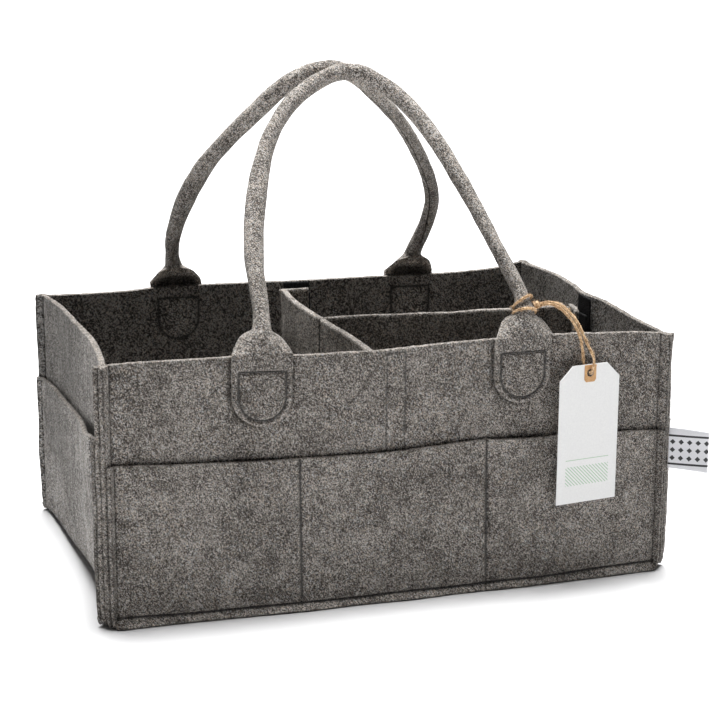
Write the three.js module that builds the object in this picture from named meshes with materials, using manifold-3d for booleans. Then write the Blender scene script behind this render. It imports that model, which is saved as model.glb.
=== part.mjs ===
// Felt nursery caddy: an open box sewn from cut felt, with outside pockets all round,
// two rolled carrying handles, a lift-out T divider held by hook-and-loop tape,
// a folded side label and a card tag tied on with twine.
// Millimetres, +Z up. The origin is the middle of the underside, on the surface the caddy stands on.
// +X runs along the long side to the right, the front is at -Y.
import * as THREE from "three";
import { mergeVertices } from "three/addons/utils/BufferGeometryUtils.js";
import Module from "manifold-3d";

// ---------- driving dimensions ----------
const HALF_LENGTH = 184.8; // inside face of an end wall from the middle
const HALF_WIDTH = 120.3; // inside face of the front and rear walls
const RIM_HEIGHT = 165;
const FELT = 4; // body felt
const POCKET_FELT = 3.2; // pocket felt
const GAP = 0.3; // between layers that lie on each other
const SEAM_FELT = 3.7; // body felt squeezed in a seam
const SEAM_POCKET_FELT = 2.8; // pocket felt squeezed in a seam
const SEAM_LENGTH = 8.4; // corner seam, from the inside corner to the cut edges
const HEM_TOP = 6.5; // bottom seam: crease height
const HEM_OUT = 4.55; // bottom seam: how far the cut edge stands out
const FRONT_POCKET_HEIGHT = 100;
const END_POCKET_HEIGHT = 105;
const FOLD_RADIUS = 3; // inside radius where the end walls turn up from the base
const POCKET_SEAMS_FRONT = [-65, 60.5];
const POCKET_SEAMS_REAR = [-62.5, 62.5];

const TAB_WIDTH = 38.5; // sewn end of a handle
const TAB_BOTTOM = 125;
const HANDLE_FOLD = 157.2; // height of the stitch line that the handle folds on
const FRONT_TABS = [-89, 84];
const REAR_TABS = [-88.5, 93.5];
const HANDLE_DIAMETER = 11.8;

const TAPE_WIDTH = 20;
const TAPE_THICKNESS = 1.2;
const PILE = 1.3; // engaged hook and loop between the two tapes
const FRONT_TAPE_X = -1;
const REAR_TAPE_X = 2;
const END_TAPE_Y = -4;
const DIVIDER_X = -5; // middle of the cross divider
const WING_Y = 6; // middle of the long divider
const DIVIDER_BOTTOM = 6;
const DIVIDER_TOP = 158;
const FOOT_WIDTH = 24;
const FOOT_FELT = 3;
const SEAM_SLACK = 1.6; // free felt at the seam that the long divider swings on

const TWINE = 1.8;
const TAG_WIDTH = 45.7;
const TAG_HEIGHT = 93;
const TAG_CARD = 0.6;
const TAG_CHAMFER = 9.6;
const TAG_MIDDLE = [128.4, -134];
const TAG_TOP = 149;
const TAG_TURN = THREE.MathUtils.degToRad(8.4);
const EYELET_DROP = 5.6;
const EYELET_RADIUS = 2.6;

const LABEL_LENGTH = 26.5;
const LABEL_HEIGHT = 28;
const LABEL_THICKNESS = 1.2;
const LABEL_TURN = THREE.MathUtils.degToRad(-33);
const LABEL_BOTTOM = 71.5;

const THREAD = 0.9;

const wasm = await Module();
wasm.setup();

// ---------- materials ----------
const material = (color, roughness) => new THREE.MeshStandardMaterial({ color, roughness, metalness: 0 });
const felt = () => material(0x6d6862, 0.95);
const tape = () => material(0x17171a, 0.9);
const thread = () => material(0x55514c, 0.8);
const twine = () => material(0xb98a55, 0.9);
const card = () => material(0xf4f3f0, 0.7);
const kraft = () => material(0xc29a6b, 0.8);
const ribbon = () => material(0xf1f1ef, 0.8);

const caddy = new THREE.Group();
const place = (name, geometry, mat, parent = caddy) => {
  const mesh = new THREE.Mesh(geometry, mat);
  mesh.name = name;
  parent.add(mesh);
  return mesh;
};

// ---------- geometry helpers ----------
const bare = (geometry) => {
  geometry.deleteAttribute("normal");
  geometry.deleteAttribute("uv");
  return mergeVertices(geometry, 1e-4);
};

const turnOutwards = (geometry) => {
  const p = geometry.attributes.position;
  const idx = geometry.index.array;
  const a = new THREE.Vector3();
  const b = new THREE.Vector3();
  const c = new THREE.Vector3();
  let volume = 0;
  for (let i = 0; i < idx.length; i += 3) {
    a.fromBufferAttribute(p, idx[i]);
    b.fromBufferAttribute(p, idx[i + 1]);
    c.fromBufferAttribute(p, idx[i + 2]);
    volume += a.dot(b.cross(c));
  }
  if (volume < 0) for (let i = 0; i < idx.length; i += 3) [idx[i + 1], idx[i + 2]] = [idx[i + 2], idx[i + 1]];
  geometry.computeVertexNormals();
  return geometry;
};

// A bent felt sheet: a box of columns x rows x one layer whose points are moved to at(column, row, side).
const sheet = (columns, rows, at) => {
  const g = new THREE.BoxGeometry(1, 1, 1, columns - 1, rows - 1, 1);
  const p = g.attributes.position;
  for (let i = 0; i < p.count; i++) {
    const c = Math.round((p.getX(i) + 0.5) * (columns - 1));
    const r = Math.round((p.getY(i) + 0.5) * (rows - 1));
    p.setXYZ(i, ...at(c, r, p.getZ(i) > 0 ? 1 : 0));
  }
  return turnOutwards(bare(g));
};

const solid = (geometry) => {
  const g = geometry.index && !geometry.attributes.normal && !geometry.attributes.uv ? geometry : bare(geometry.clone());
  return new wasm.Manifold(
    new wasm.Mesh({ numProp: 3, vertProperties: g.attributes.position.array, triVerts: new Uint32Array(g.index.array) }),
  );
};

const fromSolid = (s) => {
  const m = s.getMesh();
  const g = new THREE.BufferGeometry();
  g.setAttribute("position", new THREE.BufferAttribute(new Float32Array(m.vertProperties), 3));
  g.setIndex(new THREE.BufferAttribute(new Uint32Array(m.triVerts), 1));
  g.computeVertexNormals();
  return g;
};

const join = (a, b) => fromSolid(solid(a).add(solid(b)));

const polygon = (points) => new THREE.Shape(points.map(([x, y]) => new THREE.Vector2(x, y)));

const round = (radius, sides) => {
  const s = [];
  for (let i = 0; i < sides; i++) {
    const t = (2 * Math.PI * (i + 0.5)) / sides;
    s.push([radius * Math.cos(t), radius * Math.sin(t)]);
  }
  return polygon(s);
};

const tube = (points, diameter, steps, sides = 6, curved = true) => {
  const v = points.map((q) => new THREE.Vector3(...q));
  let path;
  if (curved) path = new THREE.CatmullRomCurve3(v, false, "centripetal");
  else {
    path = new THREE.CurvePath();
    for (let i = 0; i + 1 < v.length; i++) path.add(new THREE.LineCurve3(v[i], v[i + 1]));
  }
  return turnOutwards(bare(new THREE.ExtrudeGeometry(round(diameter / 2, sides), { steps, extrudePath: path, bevelEnabled: false })));
};

// A line of stitching that lies flat: the points' line is given a width in its own plane and a thickness across it.
// "at" turns (along, up, across) into a place on the caddy.
const stitching = (points, closed, at) => {
  const v = points.map(([x, y]) => new THREE.Vector2(x, y));
  const n = v.length;
  const sides = [[], []];
  v.forEach((q, i) => {
    const before = closed ? v[(i + n - 1) % n] : v[Math.max(0, i - 1)];
    const after = closed ? v[(i + 1) % n] : v[Math.min(n - 1, i + 1)];
    const a = q.clone().sub(before);
    const b = after.clone().sub(q);
    if (a.length() < 1e-9) a.copy(b);
    if (b.length() < 1e-9) b.copy(a);
    a.normalize();
    b.normalize();
    const m = a.clone().add(b).normalize();
    const reach = THREAD / 2 / m.dot(a);
    sides[0].push([q.x - m.y * reach, q.y + m.x * reach]);
    sides[1].push([q.x + m.y * reach, q.y - m.x * reach]);
  });
  let shape;
  if (closed) {
    const area = (l) => Math.abs(THREE.ShapeUtils.area(l.map(([x, y]) => ({ x, y }))));
    const [outer, inner] = area(sides[0]) > area(sides[1]) ? sides : [sides[1], sides[0]];
    shape = polygon(outer);
    shape.holes.push(new THREE.Path(inner.map(([x, y]) => new THREE.Vector2(x, y))));
  } else shape = polygon([...sides[0], ...sides[1].reverse()]);
  const g = new THREE.ExtrudeGeometry(shape, { depth: THREAD, bevelEnabled: false });
  const p = g.attributes.position;
  for (let i = 0; i < p.count; i++) p.setXYZ(i, ...at(p.getX(i), p.getY(i), p.getZ(i) - THREAD / 2));
  return turnOutwards(bare(g));
};

const slab = (x0, x1, y0, y1, z0, z1) => {
  const g = new THREE.BoxGeometry(x1 - x0, y1 - y0, z1 - z0);
  g.translate((x0 + x1) / 2, (y0 + y1) / 2, (z0 + z1) / 2);
  return g;
};

// ---------- the sewn box ----------
// Every wall is a set of layers that are counted outwards from the inside face.
// "off" is a layer face's distance from the inside face, "squeezed" its distance from the middle plane of a corner seam.
const BODY_LAYER = { off: [0, FELT], squeezed: [GAP / 2, GAP / 2 + SEAM_FELT] };
const POCKET_LAYER = {
  off: [FELT + GAP, FELT + GAP + POCKET_FELT],
  squeezed: [GAP * 1.5 + SEAM_FELT, GAP * 1.5 + SEAM_FELT + SEAM_POCKET_FELT],
};
const R2 = Math.SQRT1_2;

// How far an end wall bows out (+) or in (-) of its straight line, at a place along it.
const fade = (y) => 1 - Math.pow(Math.min(1, Math.abs(y) / HALF_WIDTH), 6);
const bell = (y, middle, width) => Math.exp(-(((y - middle) / width) ** 2));
const bow = (side, y, z) => {
  const h = THREE.MathUtils.clamp(z / RIM_HEIGHT, 0, 1);
  if (side < 0) return -(3 + 4.3 * h) * fade(y);
  return (7 * bell(y, 70, 32) - 3 * bell(y, -65, 40)) * h * fade(y);
};

// A long wall: a face at "off" runs straight along X and turns out at 45 degrees into the corner seams.
// Columns: left cut edge, left crease, right crease, right cut edge.
const longWall = (layer, front, top, bottoms) => {
  const s = front ? -1 : 1;
  const wall = sheet(6, 3, (c, r, side) => {
    const o = layer.off[side];
    const d = layer.squeezed[side];
    const left = c < 3 ? -1 : 1;
    const k = c < 3 ? c : 5 - c; // 0 cut edge, 1 crease, 2 just inside the crease
    const z = [bottoms[k], bottoms[k] + 4 + (top - bottoms[k]) * 0.4, top][r];
    if (k === 0)
      return [left * (HALF_LENGTH - R2 * d + R2 * SEAM_LENGTH), s * (HALF_WIDTH + R2 * d + R2 * SEAM_LENGTH), z];
    if (k === 1) return [left * (HALF_LENGTH - Math.SQRT2 * d + o), s * (HALF_WIDTH + o), z];
    return [left * (HALF_LENGTH - 9), s * (HALF_WIDTH + o), z];
  });
  const [a, b] = layer.off;
  const hem = new THREE.ExtrudeGeometry(
    polygon([
      [a, HEM_TOP + 1],
      [a, HEM_TOP],
      [a + HEM_OUT, 0],
      [b + HEM_OUT, 0],
      [b, HEM_TOP],
      [b, HEM_TOP + 1],
    ]),
    { depth: 2 * (HALF_LENGTH - 6), bevelEnabled: false },
  );
  // profile x -> outwards, profile y -> up, depth -> along X
  const m = new THREE.Matrix4();
  if (front) m.set(0, 0, -1, HALF_LENGTH - 6, -1, 0, 0, -HALF_WIDTH, 0, 1, 0, 0, 0, 0, 0, 1);
  else m.set(0, 0, 1, -(HALF_LENGTH - 6), 1, 0, 0, HALF_WIDTH, 0, 1, 0, 0, 0, 0, 0, 1);
  hem.applyMatrix4(m);
  return join(wall, turnOutwards(bare(hem)));
};

place("front_panel", longWall(BODY_LAYER, true, RIM_HEIGHT, [1.2, 6, HEM_TOP]), felt());
place("rear_panel", longWall(BODY_LAYER, false, RIM_HEIGHT, [1.2, 6, HEM_TOP]), felt());
place("front_pocket", longWall(POCKET_LAYER, true, FRONT_POCKET_HEIGHT, [1.6, 6, HEM_TOP]), felt());
place("rear_pocket", longWall(POCKET_LAYER, false, FRONT_POCKET_HEIGHT, [1.6, 6, HEM_TOP]), felt());

// The end walls and the base are one strip that is folded up at both ends.
// Columns across the strip: cut edge, crease, places along the wall, crease, cut edge.
const ACROSS = [-112, -100, -84, -64, -40, -14, 14, 40, 64, 84, 100, 112];
const COLUMNS = ACROSS.length + 4;
const endPoint = (side, layer, c, face, z) => {
  const o = layer.off[face];
  const d = layer.squeezed[face];
  const s = c < COLUMNS / 2 ? -1 : 1;
  const k = c < COLUMNS / 2 ? c : COLUMNS - 1 - c;
  if (k === 0) return [side * (HALF_LENGTH + R2 * d + R2 * SEAM_LENGTH), s * (HALF_WIDTH - R2 * d + R2 * SEAM_LENGTH), z];
  if (k === 1) return [side * (HALF_LENGTH + o), s * (HALF_WIDTH - Math.SQRT2 * d + o), z];
  const y = ACROSS[c - 2];
  return [side * (HALF_LENGTH + bow(side, y, z) + o), y, z];
};
// Round the fold at the foot of an end wall: "turn" is 0 at the wall and 90 degrees at the base.
const FOLD_Z = FOLD_RADIUS + FELT;
const foldPoint = (side, layer, c, face, turn) => {
  const radius = FOLD_RADIUS + layer.off[face];
  const s = c < COLUMNS / 2 ? -1 : 1;
  const k = c < COLUMNS / 2 ? c : COLUMNS - 1 - c;
  const t = THREE.MathUtils.degToRad(turn);
  const [x0, y0] = endPoint(side, layer, c, face, FOLD_Z);
  let y = y0;
  let x = x0;
  if (k === 0) {
    // the cut edge of the seam runs out as the wall turns under
    const [x1, y1] = endPoint(side, layer, c + (s < 0 ? 1 : -1), face, FOLD_Z);
    const keep = Math.max(0.1, 1 - turn / 34);
    x = x1 + (x0 - x1) * keep;
    y = y1 + (y0 - y1) * keep;
  }
  if (turn > 34 && k < 2) y = s * (HALF_WIDTH - (k === 0 ? 0.35 : 1.6));
  const shift = radius * (1 - Math.cos(t));
  return [x - side * shift, y, FOLD_Z - radius * Math.sin(t)];
};
const STRIP_ROWS = [];
for (const z of [RIM_HEIGHT, 132, 99, 66, 33, 14]) STRIP_ROWS.push((c, f) => endPoint(-1, BODY_LAYER, c, f, z));
for (const t of [0, 17, 34, 55, 75, 90]) STRIP_ROWS.push((c, f) => foldPoint(-1, BODY_LAYER, c, f, t));
for (const t of [90, 75, 55, 34, 17, 0]) STRIP_ROWS.push((c, f) => foldPoint(1, BODY_LAYER, c, f, t));
for (const z of [14, 33, 66, 99, 132, RIM_HEIGHT]) STRIP_ROWS.push((c, f) => endPoint(1, BODY_LAYER, c, f, z));
place("base_and_ends", sheet(COLUMNS, STRIP_ROWS.length, (c, r, f) => STRIP_ROWS[r](c, f)), felt());

for (const [name, side] of [
  ["left_pocket", -1],
  ["right_pocket", 1],
]) {
  const rows = [];
  for (const z of [END_POCKET_HEIGHT, 78, 50, 26, 14]) rows.push((c, f) => endPoint(side, POCKET_LAYER, c, f, z));
  for (const t of [0, 12, 24, 34]) rows.push((c, f) => foldPoint(side, POCKET_LAYER, c, f, t));
  place(name, sheet(COLUMNS, rows.length, (c, r, f) => rows[r](c, f)), felt());
}

// ---------- hook-and-loop tape on the walls ----------
const LOOP_BOTTOM = 40;
const LOOP_TOP = RIM_HEIGHT - 3;
const inFront = -HALF_WIDTH + GAP;
const inRear = HALF_WIDTH - GAP;
const inEnd = HALF_LENGTH - 1.2; // clear of the inward bow beside the tape
place(
  "front_loop_tape",
  slab(FRONT_TAPE_X - TAPE_WIDTH / 2, FRONT_TAPE_X + TAPE_WIDTH / 2, inFront, inFront + TAPE_THICKNESS, LOOP_BOTTOM, LOOP_TOP),
  tape(),
);
place(
  "rear_loop_tape",
  slab(REAR_TAPE_X - TAPE_WIDTH / 2, REAR_TAPE_X + TAPE_WIDTH / 2, inRear - TAPE_THICKNESS, inRear, LOOP_BOTTOM, LOOP_TOP),
  tape(),
);
place(
  "end_loop_tape",
  slab(inEnd - TAPE_THICKNESS, inEnd, END_TAPE_Y - TAPE_WIDTH / 2, END_TAPE_Y + TAPE_WIDTH / 2, LOOP_BOTTOM, LOOP_TOP),
  tape(),
);

// ---------- lift-out T divider ----------
const divider = new THREE.Group();
caddy.add(divider);
const hookFront = inFront + TAPE_THICKNESS + PILE;
const hookRear = inRear - TAPE_THICKNESS - PILE;
const hookEnd = inEnd - TAPE_THICKNESS - PILE;
const footFront = hookFront + TAPE_THICKNESS + GAP;
const footRear = hookRear - TAPE_THICKNESS - GAP;
const footEnd = hookEnd - TAPE_THICKNESS - GAP;
const HOOK_BOTTOM = 52;
const HOOK_TOP = DIVIDER_TOP - 4;
place(
  "front_hook_tape",
  slab(FRONT_TAPE_X - TAPE_WIDTH / 2, FRONT_TAPE_X + TAPE_WIDTH / 2, hookFront, hookFront + TAPE_THICKNESS, HOOK_BOTTOM, HOOK_TOP),
  tape(),
  divider,
);
place(
  "rear_hook_tape",
  slab(REAR_TAPE_X - TAPE_WIDTH / 2, REAR_TAPE_X + TAPE_WIDTH / 2, hookRear - TAPE_THICKNESS, hookRear, HOOK_BOTTOM, HOOK_TOP),
  tape(),
  divider,
);
const FRONT_FOOT_X = DIVIDER_X - FELT / 2 - 4;
place("front_divider_foot", slab(FRONT_FOOT_X, FRONT_FOOT_X + FOOT_WIDTH, footFront, footFront + FOOT_FELT, DIVIDER_BOTTOM, DIVIDER_TOP), felt(), divider);
place("rear_divider_foot", slab(FRONT_FOOT_X, FRONT_FOOT_X + FOOT_WIDTH, footRear - FOOT_FELT, footRear, DIVIDER_BOTTOM, DIVIDER_TOP), felt(), divider);
// The cross divider's top edge dips a little in the middle.
const webFront = footFront + FOOT_FELT + GAP;
const webRear = footRear - FOOT_FELT - GAP;
const cross = new THREE.Shape();
cross.moveTo(webFront, DIVIDER_BOTTOM);
cross.lineTo(webRear, DIVIDER_BOTTOM);
cross.lineTo(webRear, DIVIDER_TOP);
cross.quadraticCurveTo(0, DIVIDER_TOP - 4, webFront, DIVIDER_TOP);
cross.closePath();
const crossGeometry = new THREE.ExtrudeGeometry(cross, { depth: FELT, bevelEnabled: false, curveSegments: 10 });
crossGeometry.applyMatrix4(new THREE.Matrix4().set(0, 0, 1, DIVIDER_X - FELT / 2, 1, 0, 0, 0, 0, 1, 0, 0, 0, 0, 0, 1));
place("cross_divider", turnOutwards(bare(crossGeometry)), felt(), divider);
place("divider_seam_thread", tube([[DIVIDER_X - FELT / 2 - 0.2 - THREAD / 2, WING_Y, 10], [DIVIDER_X - FELT / 2 - 0.2 - THREAD / 2, WING_Y, 151]], THREAD, 1, 6, false), thread(), divider);

const wing = new THREE.Group();
divider.add(wing);
const wingRoot = DIVIDER_X + FELT / 2 + SEAM_SLACK;
const wingEnd = footEnd - FOOT_FELT - GAP;
place("long_divider", slab(wingRoot, wingEnd, WING_Y - FELT / 2, WING_Y + FELT / 2, DIVIDER_BOTTOM, DIVIDER_TOP - 1), felt(), wing);
const END_FOOT_Y = WING_Y + FELT / 2 + 2;
place("end_divider_foot", slab(footEnd - FOOT_FELT, footEnd, END_FOOT_Y - FOOT_WIDTH, END_FOOT_Y, DIVIDER_BOTTOM, DIVIDER_TOP - 1), felt(), wing);
place("end_hook_tape", slab(hookEnd - TAPE_THICKNESS, hookEnd, END_TAPE_Y - TAPE_WIDTH / 2, END_TAPE_Y + TAPE_WIDTH / 2, HOOK_BOTTOM, HOOK_TOP - 1), tape(), wing);

// ---------- handles ----------
// Each handle is one felt strip: flat sewn tabs at both ends, rolled into a tube between them.
const tabInside = HALF_WIDTH + FELT + GAP;
const tabOutside = tabInside + FELT;
const tabShape = () => {
  const w = TAB_WIDTH / 2;
  const s = new THREE.Shape();
  const top = HANDLE_FOLD - 0.3;
  s.moveTo(-w + 1.2, top);
  s.lineTo(-w, TAB_BOTTOM + w);
  s.absarc(0, TAB_BOTTOM + w, w, Math.PI, 2 * Math.PI, false);
  s.lineTo(w - 1.2, top);
  s.closePath();
  return s;
};
const tab = (front, x) => {
  const g = new THREE.ExtrudeGeometry(tabShape(), { depth: FELT, bevelEnabled: false, curveSegments: 10 });
  const m = new THREE.Matrix4();
  if (front) m.set(1, 0, 0, x, 0, 0, 1, -tabOutside, 0, 1, 0, 0, 0, 0, 0, 1);
  else m.set(1, 0, 0, x, 0, 0, 1, tabInside, 0, 1, 0, 0, 0, 0, 0, 1);
  g.applyMatrix4(m);
  return turnOutwards(bare(g));
};
place("front_handle_tab_left", tab(true, FRONT_TABS[0]), felt());
place("front_handle_tab_right", tab(true, FRONT_TABS[1]), felt());
place("rear_handle_tab_left", tab(false, REAR_TABS[0]), felt());
place("rear_handle_tab_right", tab(false, REAR_TABS[1]), felt());

// Middle line of each handle, from the left fold line over the top to the right one, as [x, out, z]:
// "out" is the distance from the caddy's middle plane.
const tabMiddle = (tabInside + tabOutside) / 2;
const FRONT_LINE = [
  [FRONT_TABS[0], tabMiddle, HANDLE_FOLD + 0.3],
  [FRONT_TABS[0] + 0.2, tabMiddle, 163],
  [FRONT_TABS[0] + 0.6, tabMiddle - 0.4, 168.5],
  [-87.2, 120.6, 178.5],
  [-84.8, 108.4, 192],
  [-83.6, 99.4, 204],
  [-82.1, 86.6, 221.2],
  [-80.4, 73.7, 238.8],
  [-77, 62.4, 254.2],
  [-72, 52.6, 267.4],
  [-60, 36.8, 289],
  [-42.5, 22.5, 308.4],
  [-24, 12.6, 321.3],
  [-5, 7.4, 328.6],
  [9.2, 7.4, 328.9],
  [23, 12.2, 322.4],
  [37.9, 20.7, 310.9],
  [51, 34.6, 291.9],
  [61.5, 49.3, 272],
  [71.2, 66, 249.3],
  [80.5, 85.1, 223.3],
  [86.3, 101.2, 201.3],
  [88.4, 109.5, 190.5],
  [87.6, 120.6, 178.5],
  [FRONT_TABS[1] + 1.8, tabMiddle - 0.4, 168.5],
  [FRONT_TABS[1] + 0.4, tabMiddle, 163],
  [FRONT_TABS[1], tabMiddle, HANDLE_FOLD + 0.3],
];
const REAR_LINE = [
  [REAR_TABS[0], tabMiddle, HANDLE_FOLD + 0.3],
  [REAR_TABS[0] - 0.2, tabMiddle, 163],
  [REAR_TABS[0] - 0.8, tabMiddle - 0.4, 168.5],
  [-91.6, 120.4, 178.5],
  [-95.6, 107, 193.5],
  [-97.3, 97.1, 206.9],
  [-93.9, 76.3, 235.3],
  [-83.6, 56.4, 262.3],
  [-70.1, 43.3, 280.1],
  [-52.4, 28.6, 300.3],
  [-35.6, 16.2, 318],
  [-20.2, 9.2, 327.6],
  [-7.6, 7.4, 330.4],
  [8.3, 9.6, 327],
  [30.3, 20.9, 310.6],
  [49.3, 33.4, 293.6],
  [70.6, 50.9, 269.8],
  [88.6, 70.3, 243.4],
  [96.4, 84.6, 224],
  [97.6, 98.4, 205.2],
  [96.2, 108.5, 191.5],
  [94.8, 120.4, 178.5],
  [REAR_TABS[1] + 0.4, tabMiddle - 0.4, 168.5],
  [REAR_TABS[1] + 0.1, tabMiddle, 163],
  [REAR_TABS[1], tabMiddle, HANDLE_FOLD + 0.3],
];
// Half width, half thickness and squareness of the section at a height above the fold line.
const section = (rise) => {
  const k = THREE.MathUtils.smoothstep(rise, 6, 24);
  const r = HANDLE_DIAMETER / 2;
  const wide = THREE.MathUtils.lerp(TAB_WIDTH / 2 - 1.2, 15.6, THREE.MathUtils.smoothstep(rise, 0, 9));
  return { wide: THREE.MathUtils.lerp(wide, r + 0.2, k), thick: THREE.MathUtils.lerp(FELT / 2, r, k), square: THREE.MathUtils.lerp(0.3, 1, k) };
};
const SECTION_SIDES = 12;
const HANDLE_RINGS = 46;
const handle = (line, front) => {
  const s = front ? -1 : 1;
  const curve = new THREE.CatmullRomCurve3(
    line.map(([x, out, z]) => new THREE.Vector3(x, s * out, z)),
    false,
    "centripetal",
  );
  const total = curve.getLength();
  curve.arcLengthDivisions = 400;
  // rings lie closer together in the flat ends
  const places = [];
  for (const q of [0, 4, 8.5, 12, 15, 18, 21, 24, 28]) places.push(q / total);
  const inner = HANDLE_RINGS - 2 * places.length;
  const ends = places.map((u) => 1 - u).reverse();
  const a0 = places[places.length - 1];
  const a1 = ends[0];
  for (let i = 1; i <= inner; i++) places.push(a0 + ((a1 - a0) * i) / (inner + 1));
  places.push(...ends);
  const rings = places.map((u) => {
    const c = curve.getPointAt(THREE.MathUtils.clamp(u, 0, 1));
    const t = curve.getTangentAt(THREE.MathUtils.clamp(u, 0, 1));
    // the plane that the arch lies in turns from upright at the tab to its lean over the box
    const lean = 0.628 * THREE.MathUtils.smoothstep(c.z, 168, 188);
    const b = new THREE.Vector3(0, Math.cos(lean) * s, Math.sin(lean));
    t.x *= THREE.MathUtils.smoothstep(c.z, 164, 182);
    t.normalize();
    if (u === 0) t.set(0, 0, 1);
    if (u === 1) t.set(0, 0, -1);
    b.addScaledVector(t, -b.dot(t)).normalize();
    const w = new THREE.Vector3().crossVectors(t, b).normalize();
    return { c, b, w, ...section(c.z - HANDLE_FOLD) };
  });
  const g = new THREE.CylinderGeometry(1, 1, 1, SECTION_SIDES, rings.length - 1, false);
  const p = g.attributes.position;
  const power = (v, e) => Math.sign(v) * Math.pow(Math.abs(v) < 1e-9 ? 0 : Math.abs(v), e);
  for (let i = 0; i < p.count; i++) {
    const ring = rings[Math.round((p.getY(i) + 0.5) * (rings.length - 1))];
    const x = p.getX(i);
    const z = p.getZ(i);
    const middle = Math.hypot(x, z) < 1e-6;
    const t = Math.atan2(z, x) + Math.PI / SECTION_SIDES;
    const u = middle ? 0 : ring.wide * power(Math.cos(t), ring.square);
    const v = middle ? 0 : ring.thick * power(Math.sin(t), ring.square);
    p.setXYZ(i, ring.c.x + ring.w.x * u + ring.b.x * v, ring.c.y + ring.w.y * u + ring.b.y * v, ring.c.z + ring.w.z * u + ring.b.z * v);
  }
  return turnOutwards(bare(g));
};
place("front_handle", handle(FRONT_LINE, true), felt());
place("rear_handle", handle(REAR_LINE, false), felt());

// ---------- twine and tag ----------
const ring = (middle, axis, radius) => {
  const g = new THREE.TorusGeometry(radius, TWINE / 2, 8, 20);
  g.applyQuaternion(new THREE.Quaternion().setFromUnitVectors(new THREE.Vector3(0, 0, 1), new THREE.Vector3(...axis).normalize()));
  g.translate(...middle);
  return turnOutwards(bare(g));
};
place("twine_loop_lower", ring([88.6, -113.5, 185.8], [0.14, 0.7, 0.95], 7.7), twine());
place("twine_loop_upper", ring([88.3, -109.6, 190.8], [0.1, 0.62, 0.8], 7.7), twine());
const STRAND_RIGHT = [
  [99, -117.5, 190.2],
  [102.5, -122.5, 191.2],
  [108, -127.5, 189.2],
  [113.5, -131.5, 184],
  [118, -134.3, 177.5],
  [121.3, -136, 170.5],
  [124.4, -137, 163.5],
  [127.4, -137.6, 157.6],
  [129.3, -137.7, 152.4],
  [129.3, -136.6, 147.2],
  [129.1, -134.6, 143.6],
  [129.1, -132.4, 142.4],
];
const STRAND_LEFT = [
  [99, -115.5, 187.4],
  [102.2, -120.4, 188.6],
  [106.9, -125.3, 186.8],
  [111.7, -129, 181.8],
  [115.9, -131.4, 175.4],
  [119, -132.6, 168.4],
  [121.2, -132.4, 161],
  [122.6, -131.8, 154],
  [124.2, -131.2, 148.4],
  [126.6, -130.4, 144.6],
];
place("twine_strand_right", tube(STRAND_RIGHT, TWINE, 28, 8), twine());
place("twine_strand_left", tube(STRAND_LEFT, TWINE, 22, 8), twine());

const tag = new THREE.Group();
tag.position.set(TAG_MIDDLE[0], TAG_MIDDLE[1], TAG_TOP);
tag.rotation.z = TAG_TURN;
caddy.add(tag);
const eyelet = (radius) => {
  const h = new THREE.Path();
  h.absarc(0, -EYELET_DROP, radius, 0, 2 * Math.PI, true);
  return h;
};
const upright = (shape, depth, y) => {
  const g = new THREE.ExtrudeGeometry(shape, { depth, bevelEnabled: false, curveSegments: 8 });
  g.applyMatrix4(new THREE.Matrix4().set(1, 0, 0, 0, 0, 0, 1, y, 0, 1, 0, 0, 0, 0, 0, 1));
  return turnOutwards(bare(g));
};
const w2 = TAG_WIDTH / 2;
const tagShape = polygon([
  [-w2, -TAG_HEIGHT],
  [w2, -TAG_HEIGHT],
  [w2, -TAG_CHAMFER],
  [w2 - TAG_CHAMFER, 0],
  [-w2 + TAG_CHAMFER, 0],
  [-w2, -TAG_CHAMFER],
]);
tagShape.holes.push(eyelet(EYELET_RADIUS));
place("tag_card", upright(tagShape, TAG_CARD, -TAG_CARD / 2), card(), tag);
for (const [name, y] of [
  ["tag_patch_front", -TAG_CARD / 2 - 0.4],
  ["tag_patch_rear", TAG_CARD / 2 + 0.15],
]) {
  const patch = polygon([
    [-4.4, -0.3],
    [-4.4, -10],
    [-3.2, -11.6],
    [3.2, -11.6],
    [4.4, -10],
    [4.4, -0.3],
  ]);
  patch.holes.push(eyelet(EYELET_RADIUS));
  place(name, upright(patch, 0.25, y), kraft(), tag);
}

// ---------- side label ----------
const label = new THREE.Group();
label.position.set(HALF_LENGTH + R2 * (SEAM_LENGTH + 0.9), -HALF_WIDTH - R2 * (SEAM_LENGTH + 0.9), LABEL_BOTTOM);
label.rotation.z = LABEL_TURN;
caddy.add(label);
place("side_label", slab(0, LABEL_LENGTH, -LABEL_THICKNESS / 2, LABEL_THICKNESS / 2, 0, LABEL_HEIGHT), ribbon(), label);

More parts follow.
